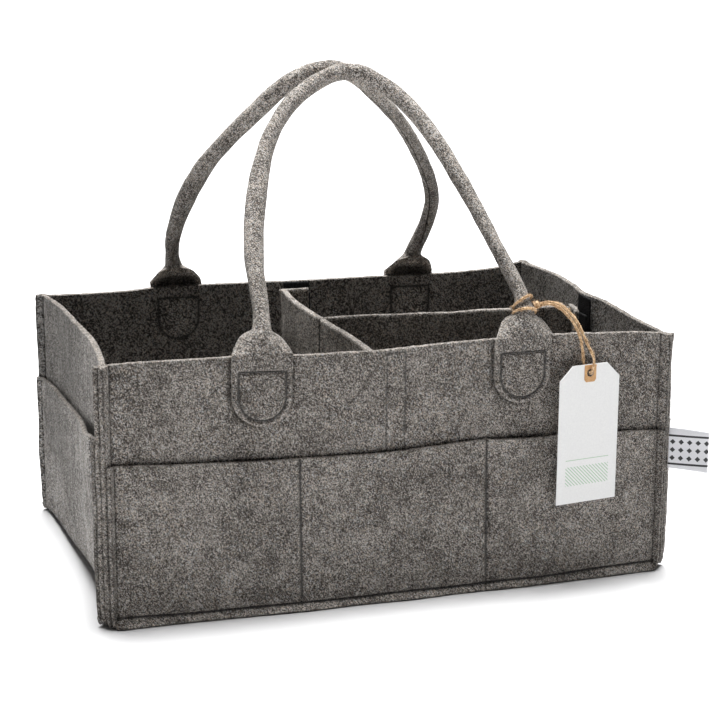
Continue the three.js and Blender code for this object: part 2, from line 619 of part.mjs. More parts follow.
// ---------- seam threads on the outside ----------
const LIFT = 0.2 + THREAD / 2; // middle of a thread above the felt it lies on
const bodyFace = FELT + LIFT;
const pocketFace = FELT + GAP + POCKET_FELT + LIFT;
for (const [name, front] of [
  ["front", true],
  ["rear", false],
]) {
  const s = front ? -1 : 1;
  place(
    name + "_base_seam_thread",
    tube([[-HALF_LENGTH + 10, s * (HALF_WIDTH + pocketFace + 0.3), HEM_TOP + 0.4], [HALF_LENGTH - 10, s * (HALF_WIDTH + pocketFace + 0.3), HEM_TOP + 0.4]], THREAD, 1, 6, false),
    thread(),
  );
  (front ? POCKET_SEAMS_FRONT : POCKET_SEAMS_REAR).forEach((x, i) => {
    const y = s * (HALF_WIDTH + pocketFace);
    place(name + "_pocket_seam_thread_" + (i ? "right" : "left"), tube([[x, y, 9], [x, y, FRONT_POCKET_HEIGHT - 1]], THREAD, 1, 6, false), thread());
  });
  // stitching that holds the loop tape: up, across and down
  const x = front ? FRONT_TAPE_X : REAR_TAPE_X;
  const y = s * (HALF_WIDTH + bodyFace);
  const upOver = [[x - 6.2, FRONT_POCKET_HEIGHT + 2], [x - 6.2, LOOP_TOP + 0.6], [x + 6.2, LOOP_TOP + 0.6], [x + 6.2, FRONT_POCKET_HEIGHT + 2]];
  place(name + "_tape_thread", stitching(upOver, false, (u, v, w) => [u, y + w, v]), thread());
  // D-shaped stitching on the sewn tabs
  (front ? FRONT_TABS : REAR_TABS).forEach((tx, i) => {
    const yy = s * (tabOutside + LIFT);
    const r = 15.4;
    const z0 = TAB_BOTTOM + 2.6 + r;
    const top = HANDLE_FOLD - 1.2;
    const d = [];
    for (let k = 0; k <= 12; k++) {
      const a = Math.PI + (Math.PI * k) / 12;
      d.push([tx + r * Math.cos(a), z0 + r * Math.sin(a)]);
    }
    d.push([tx + r, top], [tx - r, top]);
    place(name + "_tab_thread_" + (i ? "right" : "left"), stitching(d, true, (u, v, w) => [u, yy + w, v]), thread());
  });
}
const endFace = HALF_LENGTH + bodyFace + 0.4;
place(
  "end_tape_thread",
  stitching(
    [
      [END_TAPE_Y - 6.2, END_POCKET_HEIGHT + 2],
      [END_TAPE_Y - 6.2, LOOP_TOP],
      [END_TAPE_Y + 6.2, LOOP_TOP],
      [END_TAPE_Y + 6.2, END_POCKET_HEIGHT + 2],
    ],
    false,
    (u, v, w) => [endFace + w, u, v],
  ),
  thread(),
);
// Corner seams: a thread on each outer flange face, stepping out where the pocket layer starts.
for (const [name, sx, sy] of [
  ["front_left", -1, -1],
  ["front_right", 1, -1],
  ["rear_left", -1, 1],
  ["rear_right", 1, 1],
]) {
  const upper = GAP / 2 + SEAM_FELT + LIFT;
  const lower = POCKET_LAYER.squeezed[1] + LIFT;
  place(
    name + "_corner_thread",
    stitching(
      [
        [upper, RIM_HEIGHT - 2],
        [upper, END_POCKET_HEIGHT + 11],
        [lower, END_POCKET_HEIGHT + 4],
        [lower, 9],
      ],
      false,
      (d, z, w) => {
        const along = SEAM_LENGTH - 3.2 + w;
        return [sx * (HALF_LENGTH - R2 * d + R2 * along), sy * (HALF_WIDTH + R2 * d + R2 * along), z];
      },
    ),
    thread(),
  );
}

export default caddy;
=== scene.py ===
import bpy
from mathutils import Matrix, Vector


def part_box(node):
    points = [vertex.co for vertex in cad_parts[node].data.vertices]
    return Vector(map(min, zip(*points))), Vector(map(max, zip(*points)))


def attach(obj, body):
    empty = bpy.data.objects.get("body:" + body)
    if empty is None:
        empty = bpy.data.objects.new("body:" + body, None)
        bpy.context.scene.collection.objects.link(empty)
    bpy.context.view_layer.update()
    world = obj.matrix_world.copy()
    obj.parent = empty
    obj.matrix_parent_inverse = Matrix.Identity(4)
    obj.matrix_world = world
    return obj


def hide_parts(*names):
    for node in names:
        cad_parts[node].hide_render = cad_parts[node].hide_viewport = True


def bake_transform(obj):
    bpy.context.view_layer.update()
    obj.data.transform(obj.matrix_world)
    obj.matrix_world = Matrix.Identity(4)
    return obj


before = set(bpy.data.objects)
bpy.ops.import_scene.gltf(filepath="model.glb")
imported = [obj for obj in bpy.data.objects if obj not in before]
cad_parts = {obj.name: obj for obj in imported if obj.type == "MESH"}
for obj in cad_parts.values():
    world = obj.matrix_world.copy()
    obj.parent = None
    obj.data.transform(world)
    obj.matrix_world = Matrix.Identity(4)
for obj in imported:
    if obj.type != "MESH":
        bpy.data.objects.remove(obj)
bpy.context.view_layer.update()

import math

import bpy
import numpy as np
from mathutils import Matrix

# Lengths below are millimetres; meshes are written in metres.
SX, SY, H = 184.8, 120.3, 165.0  # inside faces of the walls, rim height
FELT, POCKET, GAP = 4.0, 3.2, 0.3
FLANGE = 8.4
R2 = math.sqrt(0.5)
FOLD_R = 3.0
FRONT_SEAMS = (-65.0, 60.5)
REAR_SEAMS = (-62.5, 62.5)
FRONT_TABS = (-89.0, 84.0)
REAR_TABS = (-88.5, 93.5)
FRONT_TAPE_X, REAR_TAPE_X, END_TAPE_Y = -1.0, 2.0, -4.0


# ------------------------------------------------------------------ camera
def make_camera():
    data = bpy.data.cameras.new("photo_camera")
    cam = bpy.data.objects.new("photo_camera", data)
    bpy.context.scene.collection.objects.link(cam)
    right = (0.9529260, -0.3031576, 0.0052505)
    up = (0.0667687, 0.2267054, 0.9716721)
    back = (-0.2957601, -0.9255810, 0.2362749)
    at = (-0.362910, -1.181310, 0.429930)
    cam.matrix_world = Matrix([[right[i], up[i], back[i], at[i]] for i in range(3)] + [[0, 0, 0, 1]])
    data.sensor_width = 36.0
    data.lens = 91.13
    data.clip_start = 0.05
    data.clip_end = 200.0
    bpy.context.scene.camera = cam


make_camera()


# ------------------------------------------------------------------ small maths
def rise(x, a, b):
    t = np.clip((np.asarray(x, float) - a) / (b - a), 0, 1)
    return t * t * (3 - 2 * t)


def bell(x, m, w):
    return np.exp(-(((np.asarray(x, float) - m) / w) ** 2))


def smooth_curve(xs, ys):
    """A smooth line through the given places."""
    xs, ys = np.array(xs, float), np.array(ys, float)
    m = np.gradient(ys, xs)

    def f(x):
        x = np.clip(np.asarray(x, float), xs[0], xs[-1])
        i = np.clip(np.searchsorted(xs, x) - 1, 0, len(xs) - 2)
        h = xs[i + 1] - xs[i]
        t = (x - xs[i]) / h
        return (
            (2 * t**3 - 3 * t**2 + 1) * ys[i]
            + (t**3 - 2 * t**2 + t) * h * m[i]
            + (-2 * t**3 + 3 * t**2) * ys[i + 1]
            + (t**3 - t**2) * h * m[i + 1]
        )

    return f


class Waves:
    """Smooth, repeatable unevenness: a sum of sine waves in fixed directions."""

    def __init__(self, seed, shortest, longest, n=14):
        rng = np.random.default_rng(seed)
        k = rng.normal(size=(n, 3))
        k /= np.linalg.norm(k, axis=1, keepdims=True)
        self.k = k * (2 * np.pi / rng.uniform(shortest, longest, n))[:, None]
        self.p = rng.uniform(0, 2 * np.pi, n)
        self.n = n

    def __call__(self, x, y, z):
        q = np.stack(np.broadcast_arrays(np.asarray(x, float), y, z), -1)
        return np.sin(q @ self.k.T + self.p).sum(-1) / math.sqrt(self.n / 2)


def catmull(points, step):
    """Points along a smooth line, about step apart."""
    p = np.array(points, float)
    ext = np.vstack([2 * p[0] - p[1], p, 2 * p[-1] - p[-2]])
    out = []
    for i in range(len(p) - 1):
        a, b, c, d = ext[i : i + 4]
        n = max(2, int(np.linalg.norm(c - b) / step * 6))
        t = np.linspace(0, 1, n, endpoint=False)[:, None]
        t0, t1, t2, t3 = 0.0, *np.cumsum([np.linalg.norm(b - a) ** 0.5, np.linalg.norm(c - b) ** 0.5, np.linalg.norm(d - c) ** 0.5])
        u = t1 + (t2 - t1) * t
        a1 = (t1 - u) / (t1 - t0) * a + (u - t0) / (t1 - t0) * b
        a2 = (t2 - u) / (t2 - t1) * b + (u - t1) / (t2 - t1) * c
        a3 = (t3 - u) / (t3 - t2) * c + (u - t2) / (t3 - t2) * d
        b1 = (t2 - u) / (t2 - t0) * a1 + (u - t0) / (t2 - t0) * a2
        b2 = (t3 - u) / (t3 - t1) * a2 + (u - t1) / (t3 - t1) * a3
        out.append((t2 - u) / (t2 - t1) * b1 + (u - t1) / (t2 - t1) * b2)
    out.append(p[-1:])
    fine = np.vstack(out)
    return resample(fine, step)


def resample(line, step):
    line = np.asarray(line, float)
    s = np.concatenate([[0], np.cumsum(np.linalg.norm(np.diff(line, axis=0), axis=1))])
    n = max(2, int(round(s[-1] / step)) + 1)
    t = np.linspace(0, s[-1], n)
    return np.stack([np.interp(t, s, line[:, i]) for i in range(line.shape[1])], 1)


def length_of(line):
    return float(np.linalg.norm(np.diff(np.asarray(line), axis=0), axis=1).sum())


def unit(v):
    v = np.asarray(v, float)
    return v / np.maximum(np.linalg.norm(v, axis=-1, keepdims=True), 1e-12)


def line_distance(px, pz, lines):
    """Distance from each place to the nearest of the flat polylines."""
    best = np.full(np.broadcast(px, pz).shape, 1e9)
    for line in lines:
        for (x0, z0), (x1, z1) in zip(line[:-1], line[1:]):
            dx, dz = x1 - x0, z1 - z0
            t = np.clip(((px - x0) * dx + (pz - z0) * dz) / max(dx * dx + dz * dz, 1e-9), 0, 1)
            best = np.minimum(best, np.hypot(px - x0 - t * dx, pz - z0 - t * dz))
    return best


def valley(d, depth, width=1.0):
    """Felt drawn in along a seam, with the felt beside it standing a little proud."""
    return depth * np.exp(-((d / width) ** 2)) - 0.16 * depth * np.exp(-(((d - 2.6 * width) / (1.3 * width)) ** 2))


def places(low, high, step, extra=(), least=0.3):
    """Grid lines from low to high, with closer ones round the extra places: (place, half width, step)."""
    v = list(np.linspace(low, high, max(2, int(round((high - low) / step)) + 1)))
    keep = [low, high]
    for m, half, fine in extra:
        v = [q for q in v if abs(q - m) > half or q in (low, high)]
        keep += [q for q in np.arange(m - half, m + half + 1e-6, fine) if low < q < high]
    v = sorted(set(v) | set(keep))
    out = [v[0]]
    for q in v[1:-1]:
        if q - out[-1] >= least and v[-1] - q >= least:
            out.append(q)
    out.append(v[-1])
    return np.array(out)


# ------------------------------------------------------------------ materials
def node_material(name):
    m = bpy.data.materials.new(name)
    m.use_nodes = True
    nt = m.node_tree
    nt.nodes.clear()
    out = nt.nodes.new("ShaderNodeOutputMaterial")
    bsdf = nt.nodes.new("ShaderNodeBsdfPrincipled")
    nt.links.new(bsdf.outputs[0], out.inputs[0])
    return m, nt, bsdf


def put(nt, kind, **values):
    n = nt.nodes.new(kind)
    for k, v in values.items():
        if k in n.inputs:
            n.inputs[k].default_value = v
        else:
            setattr(n, k, v)
    return n


def math_node(nt, op, a, b=None, c=None, clamp=False):
    n = nt.nodes.new("ShaderNodeMath")
    n.operation = op
    n.use_clamp = clamp
    for i, v in enumerate((a, b, c)):
        if v is None:
            continue
        if isinstance(v, (int, float)):
            n.inputs[i].default_value = v
        else:
            nt.links.new(v, n.inputs[i])
    return n.outputs[0]


def noise_node(nt, coord, scale, detail=2.0, rough=0.55, distortion=0.0, stretch=None, turn=None):
    if stretch is not None:
        mp = nt.nodes.new("ShaderNodeMapping")
        mp.inputs["Scale"].default_value = stretch
        if turn is not None:
            r = nt.nodes.new("ShaderNodeMapping")
            r.inputs["Rotation"].default_value = turn
            nt.links.new(coord, r.inputs["Vector"])
            coord = r.outputs[0]
        nt.links.new(coord, mp.inputs["Vector"])
        coord = mp.outputs[0]
    n = put(nt, "ShaderNodeTexNoise", Scale=scale, Detail=detail, Roughness=rough, Distortion=distortion)
    nt.links.new(coord, n.inputs["Vector"])
    return n.outputs["Fac"]


def ramp(nt, value, stops):
    n = nt.nodes.new("ShaderNodeValToRGB")
    e = n.color_ramp.elements
    while len(e) < len(stops):
        e.new(0.5)
    for i, (p, c) in enumerate(stops):
        e[i].position = p
        e[i].color = (*c, 1)
    nt.links.new(value, n.inputs[0])
    return n.outputs[0]


def spread(nt, value, gain):
    """(value - 0.5) * gain"""
    return math_node(nt, "MULTIPLY", math_node(nt, "SUBTRACT", value, 0.5), gain)


def add_all(nt, values):
    total = values[0]
    for v in values[1:]:
        total = math_node(nt, "ADD", total, v)
    return total


def felt_material(name, painted_shading=1.0, warm=0.0, edge=False, streak=0.0, along=0.0, gain=1.0, size=1.0):
    """Needled melange felt: light, middle and dark fibres lying every way, in soft blotches."""
    m, nt, bsdf = node_material(name)
    tc = nt.nodes.new("ShaderNodeTexCoord")
    p = tc.outputs["Object"]
    f1 = noise_node(nt, p, 1650 * size, 2, 0.6, 0.5, (1, 1, 0.16), (0.35, 0.6, 0.2))
    f2 = noise_node(nt, p, 1650 * size, 2, 0.6, 0.5, (0.16, 1, 1), (0.3, -0.5, 0.8))
    f3 = noise_node(nt, p, 1750 * size, 2, 0.6, 0.6, (1, 0.18, 1), (0.9, 0.2, -0.4))
    fine = noise_node(nt, p, 1500 * size, 2, 0.8, 0.2)
    middle = noise_node(nt, p, 420, 3, 0.6, 0.4)
    patch = noise_node(nt, p, 120, 3, 0.6, 0.6)
    cloud = noise_node(nt, p, 34, 2, 0.5, 0.4)
    fibre = add_all(nt, [spread(nt, f1, 1.9), spread(nt, f2, 1.9), spread(nt, f3, 1.7)])
    grain = add_all(nt, [fibre, spread(nt, fine, 3.0), spread(nt, middle, 0.5), spread(nt, patch, 0.74), spread(nt, cloud, 0.52)])
    if streak:
        drawn = noise_node(nt, p, 210, 3, 0.65, 0.3, (1, 1, 0.22))
        laid = noise_node(nt, p, 880, 2, 0.7, 0.3, (1, 0.46, 1))
        grain = add_all(nt, [grain, spread(nt, drawn, streak), spread(nt, laid, along)])
    v = math_node(nt, "ADD", math_node(nt, "MULTIPLY", grain, gain), 0.5, clamp=True)
    # painted light: each copy's brightness and tint stand in for the light on the faces it covers, and cut edges are
    # made 18% lighter as a painted highlight
    lift = painted_shading * (1.18 if edge else 1.0)

    def shade(grey, tint):
        return tuple(min(1.0, grey * lift * t * (1 + warm * h)) for t, h in zip(tint, (1, 0.3, -0.6)))

    color = ramp(nt, v, [
        (0.0, shade(0.030, (1.12, 1.0, 0.92))),
        (0.3, shade(0.072, (1.135, 1.0, 0.885))),
        (0.52, shade(0.142, (1.11, 1.0, 0.895))),
        (0.74, shade(0.245, (1.09, 1.0, 0.91))),
        (1.0, shade(0.46, (1.075, 1.0, 0.92))),
    ])
    # fibres differ a little in hue as well; the per-point shading attribute darkens seams, creases and hollows as
    # painted shade and lifts edges and lit places as painted light
    hue = spread(nt, noise_node(nt, p, 1050, 1, 0.5), 0.42)
    tint = nt.nodes.new("ShaderNodeCombineXYZ")
    nt.links.new(math_node(nt, "ADD", hue, 1.0), tint.inputs[0])
    tint.inputs[1].default_value = 1.0
    nt.links.new(math_node(nt, "SUBTRACT", 1.0, hue), tint.inputs[2])
    painted_shading_attr = nt.nodes.new("ShaderNodeAttribute")
    painted_shading_attr.attribute_name = "painted_shading"
    dyed = nt.nodes.new("ShaderNodeVectorMath")
    dyed.operation = "MULTIPLY"
    nt.links.new(color, dyed.inputs[0])
    nt.links.new(tint.outputs[0], dyed.inputs[1])
    toned = nt.nodes.new("ShaderNodeVectorMath")
    toned.operation = "SCALE"
    nt.links.new(dyed.outputs[0], toned.inputs[0])
    nt.links.new(math_node(nt, "ADD", painted_shading_attr.outputs["Fac"], 1.0), toned.inputs["Scale"])
    nt.links.new(toned.outputs[0], bsdf.inputs["Base Color"])
    bsdf.inputs["Roughness"].default_value = 0.96
    bsdf.inputs["Specular IOR Level"].default_value = 0.15
    bsdf.inputs["Sheen Weight"].default_value = 0.12
    bsdf.inputs["Sheen Roughness"].default_value = 0.5
    bsdf.inputs["Sheen Tint"].default_value = (0.95, 0.9, 0.82, 1)
    height = add_all(nt, [fibre, spread(nt, fine, 1.2), spread(nt, middle, 0.9)])
    bump = put(nt, "ShaderNodeBump", Strength=0.6, Distance=0.0007)
    nt.links.new(height, bump.inputs["Height"])
    nt.links.new(bump.outputs[0], bsdf.inputs["Normal"])
    return m


def thread_material(name, c0, c1):
    m, nt, bsdf = node_material(name)
    tc = nt.nodes.new("ShaderNodeTexCoord")
    ply = noise_node(nt, tc.outputs["Object"], 2600, 2, 0.6, 0.3, (1, 0.3, 1), (0.5, 0.2, 0.7))
    color = ramp(nt, ply, [(0.3, c0), (0.7, c1)])
    nt.links.new(color, bsdf.inputs["Base Color"])
    bsdf.inputs["Roughness"].default_value = 0.72
    bsdf.inputs["Sheen Weight"].default_value = 0.15
    bump = put(nt, "ShaderNodeBump", Strength=0.4, Distance=0.0002)
    nt.links.new(ply, bump.inputs["Height"])
    nt.links.new(bump.outputs[0], bsdf.inputs["Normal"])
    return m


def tape_material(name, hooks):
    """Black hook or loop tape: a field of fine upright loops or hooks in rows on a woven ground."""
    m, nt, bsdf = node_material(name)
    tc = nt.nodes.new("ShaderNodeTexCoord")
    p = tc.outputs["Object"]
    if hooks:
        cell = put(nt, "ShaderNodeTexVoronoi", Scale=620, Randomness=0.35)
    else:
        cell = put(nt, "ShaderNodeTexVoronoi", Scale=780, Randomness=1.0)
    nt.links.new(p, cell.inputs["Vector"])
    fuzz = noise_node(nt, p, 1600, 2, 0.6, 0.6)
    h = add_all(nt, [math_node(nt, "MULTIPLY", cell.outputs["Distance"], -1.4), spread(nt, fuzz, 1.0)])
    color = ramp(nt, math_node(nt, "ADD", h, 1.0, clamp=True), [(0.2, (0.004, 0.004, 0.0045)), (0.95, (0.03, 0.03, 0.033))])
    nt.links.new(color, bsdf.inputs["Base Color"])
    bsdf.inputs["Roughness"].default_value = 0.8
    bsdf.inputs["Specular IOR Level"].default_value = 0.25
    bump = put(nt, "ShaderNodeBump", Strength=0.8, Distance=0.0008)
    nt.links.new(h, bump.inputs["Height"])
    nt.links.new(bump.outputs[0], bsdf.inputs["Normal"])
    return m


def twine_material(name):
    m, nt, bsdf = node_material(name)
    tc = nt.nodes.new("ShaderNodeTexCoord")
    p = tc.outputs["Object"]
    a = noise_node(nt, p, 1500, 3, 0.65, 0.5, (1, 0.35, 1), (0.4, 0.5, 0.1))
    b = noise_node(nt, p, 520, 3, 0.6, 0.4)
    v = math_node(nt, "ADD", add_all(nt, [spread(nt, a, 1.8), spread(nt, b, 2.2)]), 0.5, clamp=True)
    color = ramp(nt, v, [(0.05, (0.19, 0.10, 0.042)), (0.42, (0.47, 0.295, 0.15)), (0.75, (0.69, 0.48, 0.28)), (1.0, (0.86, 0.70, 0.48))])
    nt.links.new(color, bsdf.inputs["Base Color"])
    bsdf.inputs["Roughness"].default_value = 0.85
    bsdf.inputs["Sheen Weight"].default_value = 0.2
    bump = put(nt, "ShaderNodeBump", Strength=0.7, Distance=0.0003)
    nt.links.new(a, bump.inputs["Height"])
    nt.links.new(bump.outputs[0], bsdf.inputs["Normal"])
    return m


FELT_MAT = felt_material("felt_grey_melange", gain=1.16)
# painted light: the inside copy's brightness and cooler tint stand in for the light on the inside faces; its coarser,
# stronger blotches are real texture
INSIDE_MAT = felt_material("felt_grey_melange_inside", painted_shading=1.06, warm=-0.03, gain=2.2, size=0.72)
# painted highlight: cut edges are 18% lighter than the faces
EDGE_MAT = felt_material("felt_cut_edge", edge=True)
# painted shade: the end copy is darker and cooler for the light on the ends; its drawn streaks are real texture
END_MAT = felt_material("felt_grey_melange_drawn", painted_shading=0.94, warm=-0.035, streak=0.7, along=2.2, gain=1.4, size=0.85)
# painted light: the divider copy is lighter for the light on the divider; its streaks are real texture
DIVIDER_MAT = felt_material("felt_divider", painted_shading=1.22, streak=0.5, along=2.6, gain=1.45)
THREAD_MAT = thread_material("sewing_thread", (0.030, 0.029, 0.028), (0.085, 0.08, 0.075))
LOOP_MAT = tape_material("loop_tape_black", False)
HOOK_MAT = tape_material("hook_tape_black", True)
TWINE_MAT = twine_material("jute_twine")


# ------------------------------------------------------------------ mesh making
def make_object(name, verts, faces, mats, mat_index=None, smooth=True, painted_shading=None):
    """One mesh object from millimetre points."""
    me = bpy.data.meshes.new(name)
    v = np.asarray(verts, np.float64) / 1000.0
    me.from_pydata(v.tolist(), [], [list(map(int, f)) for f in faces])
    for m in mats:
        me.materials.append(m)
    if mat_index is not None:
        me.polygons.foreach_set("material_index", np.asarray(mat_index, np.int32))
    me.polygons.foreach_set("use_smooth", np.full(len(me.polygons), smooth))
    me.validate()
    me.update()
    # per-point painted shade and light, read by the felt material
    if painted_shading is not None:
        me.attributes.new("painted_shading", "FLOAT", "POINT").data.foreach_set("value", np.asarray(painted_shading, np.float32))
    o = bpy.data.objects.new(name, me)
    bpy.context.scene.collection.objects.link(o)
    return o


LUMPS = Waves(5, 7, 22, 22)
FRAY = Waves(9, 1.6, 5, 26)


def felt_sheet(name, a, b, mats=None, inset=0.5, lumps=0.09, fray=0.12, painted_shading_a=None, painted_shading_b=None, painted_shading_edge=None):
    """A closed felt sheet between two grids of points, face a and face b, with softly broken cut edges.
    The edge faces take the second material, and face b the third if there is one. The shading arrays for faces a and b
    paint shade (below 0) or light (above 0) onto places on them, and the third array paints the cut edges."""
    a, b = np.array(a, float), np.array(b, float)
    rows, cols = a.shape[:2]
    n = unit(a - b)
    wob = LUMPS(a[..., 0], a[..., 1], a[..., 2])[..., None]
    a = a + n * wob * lumps
    b = b + n * wob * lumps
    ring = [(0, c) for c in range(cols)] + [(r, cols - 1) for r in range(1, rows)]
    ring += [(rows - 1, c) for c in range(cols - 2, -1, -1)] + [(r, 0) for r in range(rows - 2, 0, -1)]
    mid = (a + b) / 2
    inner = [(min(max(r, 1), rows - 2), min(max(c, 1), cols - 2)) for r, c in ring]
    ri = np.array([r for r, c in ring]), np.array([c for r, c in ring])
    ii = np.array([r for r, c in inner]), np.array([c for r, c in inner])
    away = unit(mid[ri] - mid[ii])
    ea, eb = a[ri].copy(), b[ri].copy()
    thick = np.linalg.norm(ea - eb, axis=1, keepdims=True)
    room = np.linalg.norm(mid[ri] - mid[ii], axis=1, keepdims=True)
    ins = np.minimum(inset, 0.45 * room)
    a[ri] = ea - away * ins
    b[ri] = eb - away * ins
    verts = [a.reshape(-1, 3), b.reshape(-1, 3)]
    steps = [min(0.22, 0.5 / float(np.median(thick))), 0.5]
    steps = [steps[0], 0.5, 1 - steps[0]]
    for t in steps:
        q = ea * (1 - t) + eb * t
        rough = FRAY(q[:, 0] + 31 * t, q[:, 1], q[:, 2])[:, None]
        verts.append(q + away * (rough * fray))
    verts = np.vstack(verts)
    ia = np.arange(rows * cols).reshape(rows, cols)
    ib = ia + rows * cols
    faces, idx = [], []
    qa = np.stack([ia[:-1, :-1], ia[:-1, 1:], ia[1:, 1:], ia[1:, :-1]], -1).reshape(-1, 4)
    qb = np.stack([ib[:-1, :-1], ib[1:, :-1], ib[1:, 1:], ib[:-1, 1:]], -1).reshape(-1, 4)
    faces = [qa, qb]
    idx = [np.zeros(len(qa), int), np.full(len(qb), 2 if mats is not None and len(mats) > 2 else 0)]
    k = len(ring)
    loops = [ia[ri]] + [2 * rows * cols + i * k + np.arange(k) for i in range(len(steps))] + [ib[ri]]
    for l0, l1 in zip(loops[:-1], loops[1:]):
        q = np.stack([np.roll(l0, -1), l0, l1, np.roll(l1, -1)], -1)
        faces.append(q)
        idx.append(np.ones(k, int))
    faces = np.vstack(faces)
    # faces point out
    f4 = verts[faces]
    vol = (np.einsum("ij,ij->i", f4[:, 0], np.cross(f4[:, 1], f4[:, 2])) + np.einsum("ij,ij->i", f4[:, 0], np.cross(f4[:, 2], f4[:, 3]))).sum()
    if vol < 0:
        faces = faces[:, ::-1]
    # painted shade and light per point
    ta = np.zeros((rows, cols)) if painted_shading_a is None else np.broadcast_to(painted_shading_a, (rows, cols))
    tb = np.zeros((rows, cols)) if painted_shading_b is None else np.broadcast_to(painted_shading_b, (rows, cols))
    te = np.zeros(k) if painted_shading_edge is None else np.broadcast_to(painted_shading_edge, (rows, cols))[ri]
    painted_shading = np.concatenate([ta.ravel(), tb.ravel(), 0.5 * ta[ri] + te, te, 0.5 * tb[ri] + te])
    return make_object(name, verts, faces, mats or [FELT_MAT, EDGE_MAT], np.concatenate(idx), painted_shading=painted_shading)


def normals_of(m):
    du = np.gradient(m, axis=1)
    dv = np.gradient(m, axis=0)
    return unit(np.cross(du, dv))


def tubes(name, runs, mat, sides=6):
    """Round threads: each run is (points, radii)."""
    verts, faces, base = [], [], 0
    ang = np.linspace(0, 2 * np.pi, sides, endpoint=False)
    for pts, rad in runs:
        pts = np.asarray(pts, float)
        n = len(pts)
        t = unit(np.gradient(pts, axis=0))
        ref = np.array([0, 0, 1.0]) if abs(t[:, 2]).mean() < 0.8 else np.array([1.0, 0, 0])
        u = unit(np.cross(t, ref))
        w = np.cross(t, u)
        rad = np.broadcast_to(np.asarray(rad, float), (n,))
        ring = pts[:, None, :] + rad[:, None, None] * (np.cos(ang)[None, :, None] * u[:, None, :] + np.sin(ang)[None, :, None] * w[:, None, :])
        verts.append(ring.reshape(-1, 3))
        i = np.arange(n * sides).reshape(n, sides) + base
        j = np.roll(i, -1, axis=1)
        q = np.stack([i[:-1], i[1:], j[1:], j[:-1]], -1).reshape(-1, 4)
        faces += [tuple(x) for x in q[:, ::-1]]
        faces.append(tuple(i[0]))
        faces.append(tuple(i[-1][::-1]))
        base += n * sides
    return make_object(name, np.vstack(verts), faces, [mat])


STITCH_RNG = np.random.default_rng(77)


def stitch_runs(line, at, pitch=3.3, gap=0.55, radius=0.4, low=-0.75, high=-0.2, jitter=0.14):
    """Separate stitches along a flat line. at(u, v, h) gives the place h above the felt."""
    line = resample(np.asarray(line, float), 0.25)
    s = np.concatenate([[0], np.cumsum(np.linalg.norm(np.diff(line, axis=0), axis=1))])
    n = max(1, int(round(s[-1] / pitch)))
    step = s[-1] / n
    runs = []
    for i in range(n):
        s0, s1 = i * step + gap / 2, (i + 1) * step - gap / 2
        t = np.linspace(s0, s1, 6)
        u = np.interp(t, s, line[:, 0])
        v = np.interp(t, s, line[:, 1])
        k = np.linspace(-1, 1, 6)
        side = np.stack([np.gradient(v), -np.gradient(u)], 1)
        side = side / np.maximum(np.linalg.norm(side, axis=1, keepdims=True), 1e-9)
        j = STITCH_RNG.uniform(-jitter, jitter, 2)
        bend = j[0] * (1 - k) / 2 + j[1] * (1 + k) / 2
        h = low + (high - low) * (1 - k**2) ** 0.6
        pts = at(u + side[:, 0] * bend, v + side[:, 1] * bend, h)
        runs.append((pts, radius * (0.72 + 0.28 * (1 - k**2))))
    return runs


# ------------------------------------------------------------------ shape of the sewn box
RIM_FRONT = smooth_curve(
    [-190, -165, -140, -112, -58, -30, -3, 13, 30, 54, 112, 121, 138, 155, 172, 190],
    [2.3, 3.0, 2.7, 2.4, 0.5, 0.5, 0.5, 1.2, 2.0, 2.4, 2.8, 2.7, 1.8, 1.3, 0.3, -1.6],
)
RIM_REAR = smooth_curve(
    [-190, -175, -150, -122, -113, -68, -40, 6, 60, 115, 145, 165, 178, 188],
    [-2.6, -3.2, -3.3, -2.8, -2.0, -1.4, -2.0, -2.4, -2.5, -2.8, -1.9, -0.6, 1.6, 3.3],
)


# the left end's fold isn't creased: between the corners its foot is rounded off by this much
LEFT_ROUND = smooth_curve([-118, -108, -90, -55, -20, 15, 50, 85, 110, 118], [0, 2.5, 6.5, 9.0, 7.5, 5.0, 3.0, 2.0, 0.8, 0])


def settle(p):
    """The sewn box isn't quite true: its rim rises and falls a little along the walls."""
    p = np.array(p, float)
    x, y, z = p[..., 0], p[..., 1], p[..., 2]
    k = np.clip((y + SY) / (2 * SY), 0, 1)
    rimz = RIM_FRONT(x) * (1 - k) + RIM_REAR(x) * k - 2.2 * rise(x, 188.8, 192.5) * rise(y, 120.5, 124.5)
    up = np.where(z <= H, np.clip(z, 0, H) / H, 1 - rise(z, H, H + 55))
    round_off = LEFT_ROUND(y) * bell(z - x - SX, 0, 26) * (1 - rise(z, 45, 80)) * (1 - rise(x + SX, 45, 80)) / math.sqrt(2)
    p[..., 0] = x + round_off
    p[..., 2] = z + rimz * up + round_off
    return p


WALL_WAVE = Waves(21, 80, 190, 10)


def wall_fade(a, half):
    return 1 - rise(np.abs(a), half - 26, half - 5)


def front_bow(x, z):
    f = wall_fade(x, SX)
    foot = 4.0 * np.clip(1 - (np.asarray(x, float) / SX) ** 2, 0, 1) ** 1.1 * (1 - rise(z, -5, 118))
    return foot * f + 0.55 * WALL_WAVE(x, 11.0, z) * f * rise(z, 4, 40)


def rear_bow(x, z):
    f = wall_fade(x, SX)
    foot = 2.0 * np.clip(1 - (np.asarray(x, float) / SX) ** 2, 0, 1) ** 1.1 * (1 - rise(z, -5, 118))
    return foot * f + 0.6 * WALL_WAVE(x, 210.0, z) * f * rise(z, 4, 40)


# the tape keeps the right end flat where it is sewn on; beside it the felt bows out
RIGHT_BOW = smooth_curve([-120.3, -95, -77, -60, -42, -19, -8, 5, 15, 22, 37, 50, 66, 82, 100, 113, 120.3], [0, -0.7, -0.8, 0.4, 1.7, 2.6, 1.2, 0.3, 1.0, 2.6, 4.3, 5.2, 5.6, 4.3, 2.8, 2.0, 0])


